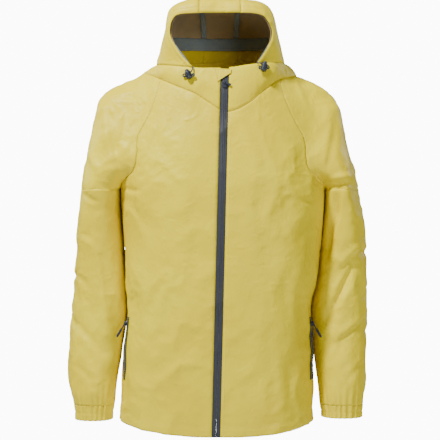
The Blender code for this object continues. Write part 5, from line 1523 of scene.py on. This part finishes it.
def makeHoodCentre():
    origin = hoodSize["origin"]
    count = steps["crown"] + steps["edge"] + 1
    points, normals = hoodRays(centreGrid(count, steps["nape"] + 1) - origin)
    points[-1] = acrossNeck("top", napeAt)
    points[:, 0] = centreSeam(-1, len(points))
    points[:, -1] = centreSeam(1, len(points))
    for edge in (0, -1):
        normals[:-1, edge] = outward(hoodGap, points[:-1, edge])
    plain = points.copy(), normals.copy()
    _, v = lengthsOf(points)
    fade = ease((v[-1:] - v) / 0.014)
    points = hoodFold(points, normals, fade, "tlr", v)
    ends = normals.copy()
    ends[-1] = acrossNeck("top_normals", napeAt)
    points = trim(points, "tlr")
    made = shell("hood_centre", points, ends)
    return plain, made, points, gridNormals(points, normals)


hoodSides = {side: makeHoodSide(side) for side in (-1, 1)}
hoodCentre = makeHoodCentre()
print("jacket: collar and hood")


# inside the hood: mesh lining, dark band along its lower edge, tapes over the seams
liningSize = {"inset": 0.0049, "thick": 0.0008, "tapeInset": 0.0075, "tapeHalf": 0.0055, "edge": 0.55,
              "bandFront": (0.0015, 0.0415), "bandBack": (0.0530, 0.0830), "rows": 30, "bandRows": 9}


# Soft folds of the loose lining, mostly slanting up from the band.
def liningFold(points, normals):
    slant = points @ np.array([[0.8, 0.0, 0.3], [0.0, 0.8, 0.2], [-0.5, 0.3, 0.7]])
    rise = 0.0022 * (0.3 - np.abs(grain(slant, 0.045, 21))) + 0.0008 * grain(points, 0.020, 22)
    return points + normals * rise[..., None]


# Lining of the two sides and the centre, and the band along all three.
def makeInside():
    size = liningSize
    inside = []
    strips = {name: [] for name in ("low", "high", "lowOut", "highOut")}
    for side in (-1, 0, 1):
        points, normals = hoodSides[side][0] if side else hoodCentre[0]
        if side:
            points, normals = points.copy(), normals.copy()
            points[:, 0] += (points[:, 1] - points[:, 0]) * size["edge"]
        last = len(points) - 1
        columns = points.shape[1]
        lining, outs, part = [], [], {name: [] for name in strips}
        for j in range(columns):
            share = ease(j / (columns - 1)) if side else 1.0
            low, high = (a + (b - a) * share for a, b in zip(size["bandFront"], size["bandBack"]))
            if side:
                a = rowAtHeight(points[:, j], low, 0, last * 0.75)
                b = rowAtHeight(points[:, j], high, 0, last)
                rows = np.linspace(b, last, size["rows"])
            else:
                a = rowAtHeight(points[:, j], low, last, steps["crown"])
                b = rowAtHeight(points[:, j], high, last, steps["crown"])
                rows = np.linspace(0.6, b, size["rows"] * 2)
            lining.append(atRows(points[:, j], rows))
            outs.append(unit(atRows(normals[:, j], rows)))
            for name, source, row in (("low", points, a), ("high", points, b),
                                      ("lowOut", normals, a), ("highOut", normals, b)):
                part[name].append(atRows(source[:, j], [row])[0])
        grid, out = np.stack(lining, 1), np.stack(outs, 1)
        grid = trim(liningFold(grid - out * size["inset"], out), "btr" if side else "tlr")
        name = "hood_lining_" + (sideName(side) if side else "centre")
        made = shell(name, grid, out, liningMesh, size["thick"], "_mesh")
        inside.append((made, grid))
        order = slice(None, None, -1) if side > 0 else slice(None) if side < 0 else slice(1, -1)
        for name in strips:
            strips[name] += part[name][order]
    low, high, lowOut, highOut = map(np.array, strips.values())
    share = np.linspace(0, 1, size["bandRows"])[:, None, None]
    grid = low[None] * (1 - share) + high[None] * share
    out = unit(lowOut[None] * (1 - share) + highOut[None] * share)
    grid = trim(liningFold(grid - out * size["inset"], out), "t")
    return inside, (shell("hood_band", grid, out, darkTape, size["thick"]), grid)


# Dark tape over a seam of the hood's centre panel.
def makeSeamTape(side):
    size = liningSize
    points = hoodCentre[0][0][:, 0 if side < 0 else -1]
    normals = hoodCentre[0][1][:, 0 if side < 0 else -1]
    end = rowAtHeight(points, size["bandBack"][1] + 0.001, len(points) - 1, steps["crown"])
    rows = np.linspace(2.0, end, 70)
    spine, out = atRows(points, rows), unit(atRows(normals, rows))
    across = unit(np.cross(out, unit(np.gradient(spine, axis=0))))
    sides = np.array([-1, -0.5, 0, 0.5, 1.0]) * size["tapeHalf"]
    grid = spine[:, None] + across[:, None] * sides[None, :, None]
    out = np.repeat(out[:, None], len(sides), 1)
    edge = np.abs(sides / size["tapeHalf"])[None, :, None] ** 2
    grid = grid - out * (size["tapeInset"] + 0.0003 * edge)
    shell("seam_tape_" + sideName(side), grid, out, darkTape, size["thick"])


linings, band = makeInside()
for side in (-1, 1):
    makeSeamTape(side)
print("jacket: hood lining")


# front zip: two tapes with a rolled inner edge, following the body's fronts up the collar
zipSize = {"top": -0.0140, "centreGap": 0.00003, "drop": 0.0004, "rows": 190, "thick": 0.0008,
           "half": 0.0120, "under": 0.0014, "roll": 0.00055, "rollAt": 0.0015, "rollWidth": 0.0011}


# The zip's line seen from the side: heights and depths up the fronts and the collar.
def frontLine():
    z = np.linspace(float(hemHeight(90)), float(neckLines[1]["seam"][0, 2]), 60)
    rows = [(level, -float(frontDepth(level))) for level in z]
    ends = [(neckLines[-1][name][0] + neckLines[1][name][0]) / 2 for name in ("seam", "top", "collar")]
    seam, top, out = ends[0], ends[1], unit(ends[2])
    height = np.linalg.norm(top - seam)
    for share in np.linspace(0.2, 1, 5):
        point = seam + (top - seam) * share + out * (0.16 * height * share * (1 - share))
        rows.append((point[2], point[1]))
    return table("z y", rows)


middle = frontLine()


# Points on the zip's middle and outward normals.
def frontFrame(z):
    depth = [np.interp(z + step, middle["z"], middle["y"]) for step in (-0.004, 0, 0.004)]
    normals = unit(np.stack([0 * z, -np.ones_like(z), (depth[2] - depth[0]) / 0.008], -1))
    return np.stack([zipLine(z), depth[1], z], -1), normals


# One tape, lapped under the front's edge, with the rolled edge in the middle.
def makeZip(side):
    z = np.linspace(middle["z"][0], zipSize["top"], zipSize["rows"])
    point, normal = frontFrame(z)
    across = np.concatenate([np.linspace(zipSize["centreGap"], 0.0030, 8),
                             np.linspace(0.0038, zipSize["half"], 9)])
    grid = point[:, None] + np.array([side, 0, 0]) * across[None, :, None]
    out = np.repeat(normal[:, None], len(across), 1)
    roll = zipSize["roll"] * np.exp(-(((across - zipSize["rollAt"]) / zipSize["rollWidth"]) ** 2))
    roll = roll - zipSize["under"] * ease((across - form["zipHalf"] + 0.0016) / 0.0014)
    calm = ease((-0.070 - grid[..., 2]) / 0.040)
    moved = fold(grid, out) - grid
    grid = grid + moved * calm[..., None] + out * (roll - zipSize["drop"])[None, :, None]
    shell("zip_tape_" + sideName(side), grid, out, zipTape, zipSize["thick"])


for side in (-1, 1):
    makeZip(side)


# flap that curls over the zip's top end: x and z of its corners, low and high on each side
guardSize = {"left": [(-0.0055, -0.0350), (-0.0120, -0.0080)],
             "right": [(0.0215, -0.0170), (0.0225, -0.0090)],
             "lift": 0.0013 + 2.5 * form["layGap"], "wave": 0.0006, "waveLength": 0.014}


def makeChinGuard():
    size = guardSize
    v, u = np.meshgrid(np.linspace(0, 1, 24), np.linspace(0, 1, 34), indexing="ij")
    a, b = ([size[end][0][k] * (1 - v) + size[end][1][k] * v for k in (0, 1)] for end in ("left", "right"))
    x, z = a[0] * (1 - u) + b[0] * u, a[1] * (1 - u) + b[1] * u
    point, normal = frontFrame(z)
    edge = np.minimum(np.minimum(u, 1 - u) * 0.030, np.minimum(v, 1 - v) * 0.022)
    hem = 0.0004 * np.exp(-((edge / 0.0012) ** 2)) - 0.0003 * np.exp(-(((edge - 0.0028) / 0.0008) ** 2))
    wave = size["wave"] * grain(point + u[..., None], size["waveLength"], 31)
    grid = np.stack([x, point[..., 1], z], -1) + normal * (size["lift"] + hem + wave)[..., None]
    return shell("chin_guard", grid, normal), grid, normal


chinGuard = makeChinGuard()


# pocket zips on the sides of the fronts, each a tape with a slit along it
pocketSize = {"low": -0.6370, "high": -0.5100, "near": 18.4, "far": 13.6, "lift": 0.0012, "thick": 0.0010,
              "rows": 66, "columns": 15}


def makePocket(side):
    size = pocketSize
    z, turn = np.meshgrid(np.linspace(size["low"], size["high"], size["rows"]),
                          np.linspace(size["near"], size["far"], size["columns"]), indexing="ij")
    points = onBody(worldTurn(side, turn), z)
    normals = outward(bodyGap, points)
    points = fold(points, normals)
    u, v = lengthsOf(points)
    centre = np.abs(u - u[:, -1:] / 2)
    slit = -0.0009 * np.exp(-((centre / 0.0007) ** 2)) + 0.0006 * np.exp(-(((centre - 0.0022) / 0.0010) ** 2))
    ends = ease(np.minimum(v, v[-1:] - v) / 0.004)
    grid = points + normals * (size["lift"] + 0.0010 * ends + slit)[..., None]
    made = shell("pocket_zip_" + sideName(side), grid, normals, zipTape, size["thick"])
    return made, grid, normals


pockets = {side: makePocket(side) for side in (-1, 1)}
print("jacket: zips")


# Thread beside a piece's edge: its grid and normals, which edge, how far from it.
def sewn(name, source, edge, distance):
    stitches("stitches_" + name, *pathBeside(*source, edge, distance))


for side in (-1, 1):
    name = sideName(side)
    sewn("hem_front_" + name, fronts[side][1:], "b", hemSize["width"])
    sewn("zip_" + name, fronts[side][1:], "l", 0.0022)
    sewn("zip_outer_" + name, fronts[side][1:], "l", 0.0060)
    for edge in "lr":
        sewn("armhole_" + edge + "_" + name, sleeves[side][1:3], edge, 0.0024)
    sewn("tunnel_" + name, hoodSides[side][2:], "l", tunnelSize["width"])
    sewn("hood_seam_" + name, hoodCentre[2:], "l" if side < 0 else "r", 0.0022)
    sewn("cuff_" + name, cuffs[side][1:], "t", 0.0022)
    for edge in "lr":
        sewn("pocket_" + edge + "_" + name, pockets[side][1:], edge, 0.0016)
sewn("tunnel_centre", hoodCentre[2:], "b", tunnelSize["width"])
sewn("hem_back", back[1:], "b", hemSize["width"])
sewn("neck", collar[1:], "b", 0.0022)
sewn("chin_guard", chinGuard[1:], "l", 0.0020)
sewn("chin_guard_low", chinGuard[1:], "b", 0.0020)
print("jacket: stitching")


# moulded pieces keep their solids' shapes; ribs are added round the cord locks
for name in ("slider", "pull", "pocket_slider_right", "pocket_slider_left", "pocket_pull_right",
             "pocket_pull_left", "lock_right", "lock_left", "lock_button_right", "lock_button_left"):
    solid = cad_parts[name]
    solid.data.materials.clear()
    solid.data.materials.append(plastic)

ribSize = {"radius": 0.00625, "tube": 0.00035,
           "places": (-0.0046, -0.0030, -0.0014, 0.0002, 0.0018, 0.0034)}
for name, row in locks.items():
    matrix = Matrix(row["frame"]) @ Matrix.Rotation(math.radians(-90), 4, "X")
    rings = []
    for place in ribSize["places"]:
        bpy.ops.object.select_all(action="DESELECT")
        bpy.ops.mesh.primitive_torus_add(major_radius=ribSize["radius"], minor_radius=ribSize["tube"],
                                         major_segments=40, minor_segments=8)
        ring = bpy.context.object
        ring.data.transform(matrix @ Matrix.Translation((0, 0, place)))
        ring.data.update()
        rings.append(ring)
    for ring in rings:
        ring.select_set(True)
    bpy.context.view_layer.objects.active = rings[0]
    bpy.ops.object.join()
    ribs = bpy.context.object
    ribs.name = "lock_ribs_" + name
    bpy.ops.object.shade_smooth()
    ribs.data.materials.append(plastic)
    ribs.data.update()
    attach(ribs, "garment")
bpy.ops.object.select_all(action="DESELECT")
for cordPiece in cords.values():
    cordPiece.data.materials.append(cordLook)


# Prints the cut of a sheet of cloth: width, length and area of the finished cloth.
def declare(piece, grid, held, *sewnOn):
    u, v = lengthsOf(grid)
    width, length = (round(float(lengths.max()) + 0.0005, 3) for lengths in (u[:, -1], v[-1]))
    cells = np.cross(grid[1:, 1:] - grid[:-1, :-1], grid[1:, :-1] - grid[:-1, 1:])
    area = float(np.linalg.norm(cells, axis=-1).sum() / 2)
    area = round(min(max(area, 0.305 * width * length), width * length), 5)
    print("cut", piece.name, width, length, area)


for side in (-1, 1):
    name = sideName(side)
    declare(fronts[side][0], fronts[side][1], "hung", "hem_front_" + name)
    declare(sleeves[side][0], sleeves[side][3], "hung", "armhole_l_" + name)
    declare(cuffs[side][0], cuffs[side][1], "gathered", "cuff_" + name)
    declare(hoodSides[side][1], hoodSides[side][2], "hung", "tunnel_" + name)
    declare(pockets[side][0], pockets[side][1], "stretched", "pocket_l_" + name)
declare(back[0], back[1], "hung", "hem_back")
declare(collar[0], collar[1], "hung", "neck")
declare(hoodCentre[1], hoodCentre[2], "hung", "tunnel_centre")
declare(chinGuard[0], chinGuard[1], "folded")
for piece, grid in linings:
    declare(piece, grid, "hung")
declare(band[0], band[1], "hung")


# pale floor and soft light: the room is white to the eye and dim as a light
floorSize = {"height": -1.30, "size": 6.0}
bpy.ops.mesh.primitive_plane_add(size=floorSize["size"], location=(0, 0, floorSize["height"]))
floor = bpy.context.object
floor.name = "floor"
paint, paintTree, paintShader, paintWhere = blank("paleFloor", 0.8)
speckle = paintTree.nodes.new("ShaderNodeTexNoise")
speckle.inputs["Scale"].default_value = 3.0
paintTree.links.new(paintWhere.outputs["Object"], speckle.inputs["Vector"])
paintTree.links.new(mixColour(paintTree, speckle.outputs["Fac"], (0.88, 0.88, 0.88), (0.92, 0.92, 0.92)),
                    paintShader.inputs["Base Color"])
floor.data.materials.append(paint)

lightSize = {"room": 0.10, "seen": 14.0}
room = bpy.data.worlds.new("room")
room.use_nodes = True
roomTree = room.node_tree
sky = roomTree.nodes["Background"]
sky.inputs["Color"].default_value = (0.97, 0.98, 1.0, 1)
sky.inputs["Strength"].default_value = lightSize["room"]
paper = roomTree.nodes.new("ShaderNodeBackground")
paper.inputs["Strength"].default_value = lightSize["seen"]
choose = roomTree.nodes.new("ShaderNodeMixShader")
rays = roomTree.nodes.new("ShaderNodeLightPath")
roomTree.links.new(rays.outputs["Is Camera Ray"], choose.inputs[0])
roomTree.links.new(sky.outputs[0], choose.inputs[1])
roomTree.links.new(paper.outputs[0], choose.inputs[2])
roomTree.links.new(choose.outputs[0], roomTree.nodes["World Output"].inputs[0])
bpy.context.scene.world = room

# name, place, size, power: a high key, a low fill and two rim lights for the sides
lamps = (
    ("key", (-1.2, -1.4, 2.2), 0.35, 165.0),
    ("fill", (1.2, -2.6, 0.0), 1.0, 24.0),
    ("rimRight", (-2.4, 1.2, 0.8), 1.2, 26.0),
    ("rimLeft", (2.4, 1.4, 0.8), 1.2, 26.0),
)
for name, place, size, power in lamps:
    lamp = bpy.data.lights.new(name, "AREA")
    lamp.size = size
    lamp.energy = power
    holder = bpy.data.objects.new(name, lamp)
    holder.location = place
    holder.rotation_euler = (Vector((0, 0, -0.3)) - Vector(place)).to_track_quat("-Z", "Y").to_euler()
    bpy.context.scene.collection.objects.link(holder)
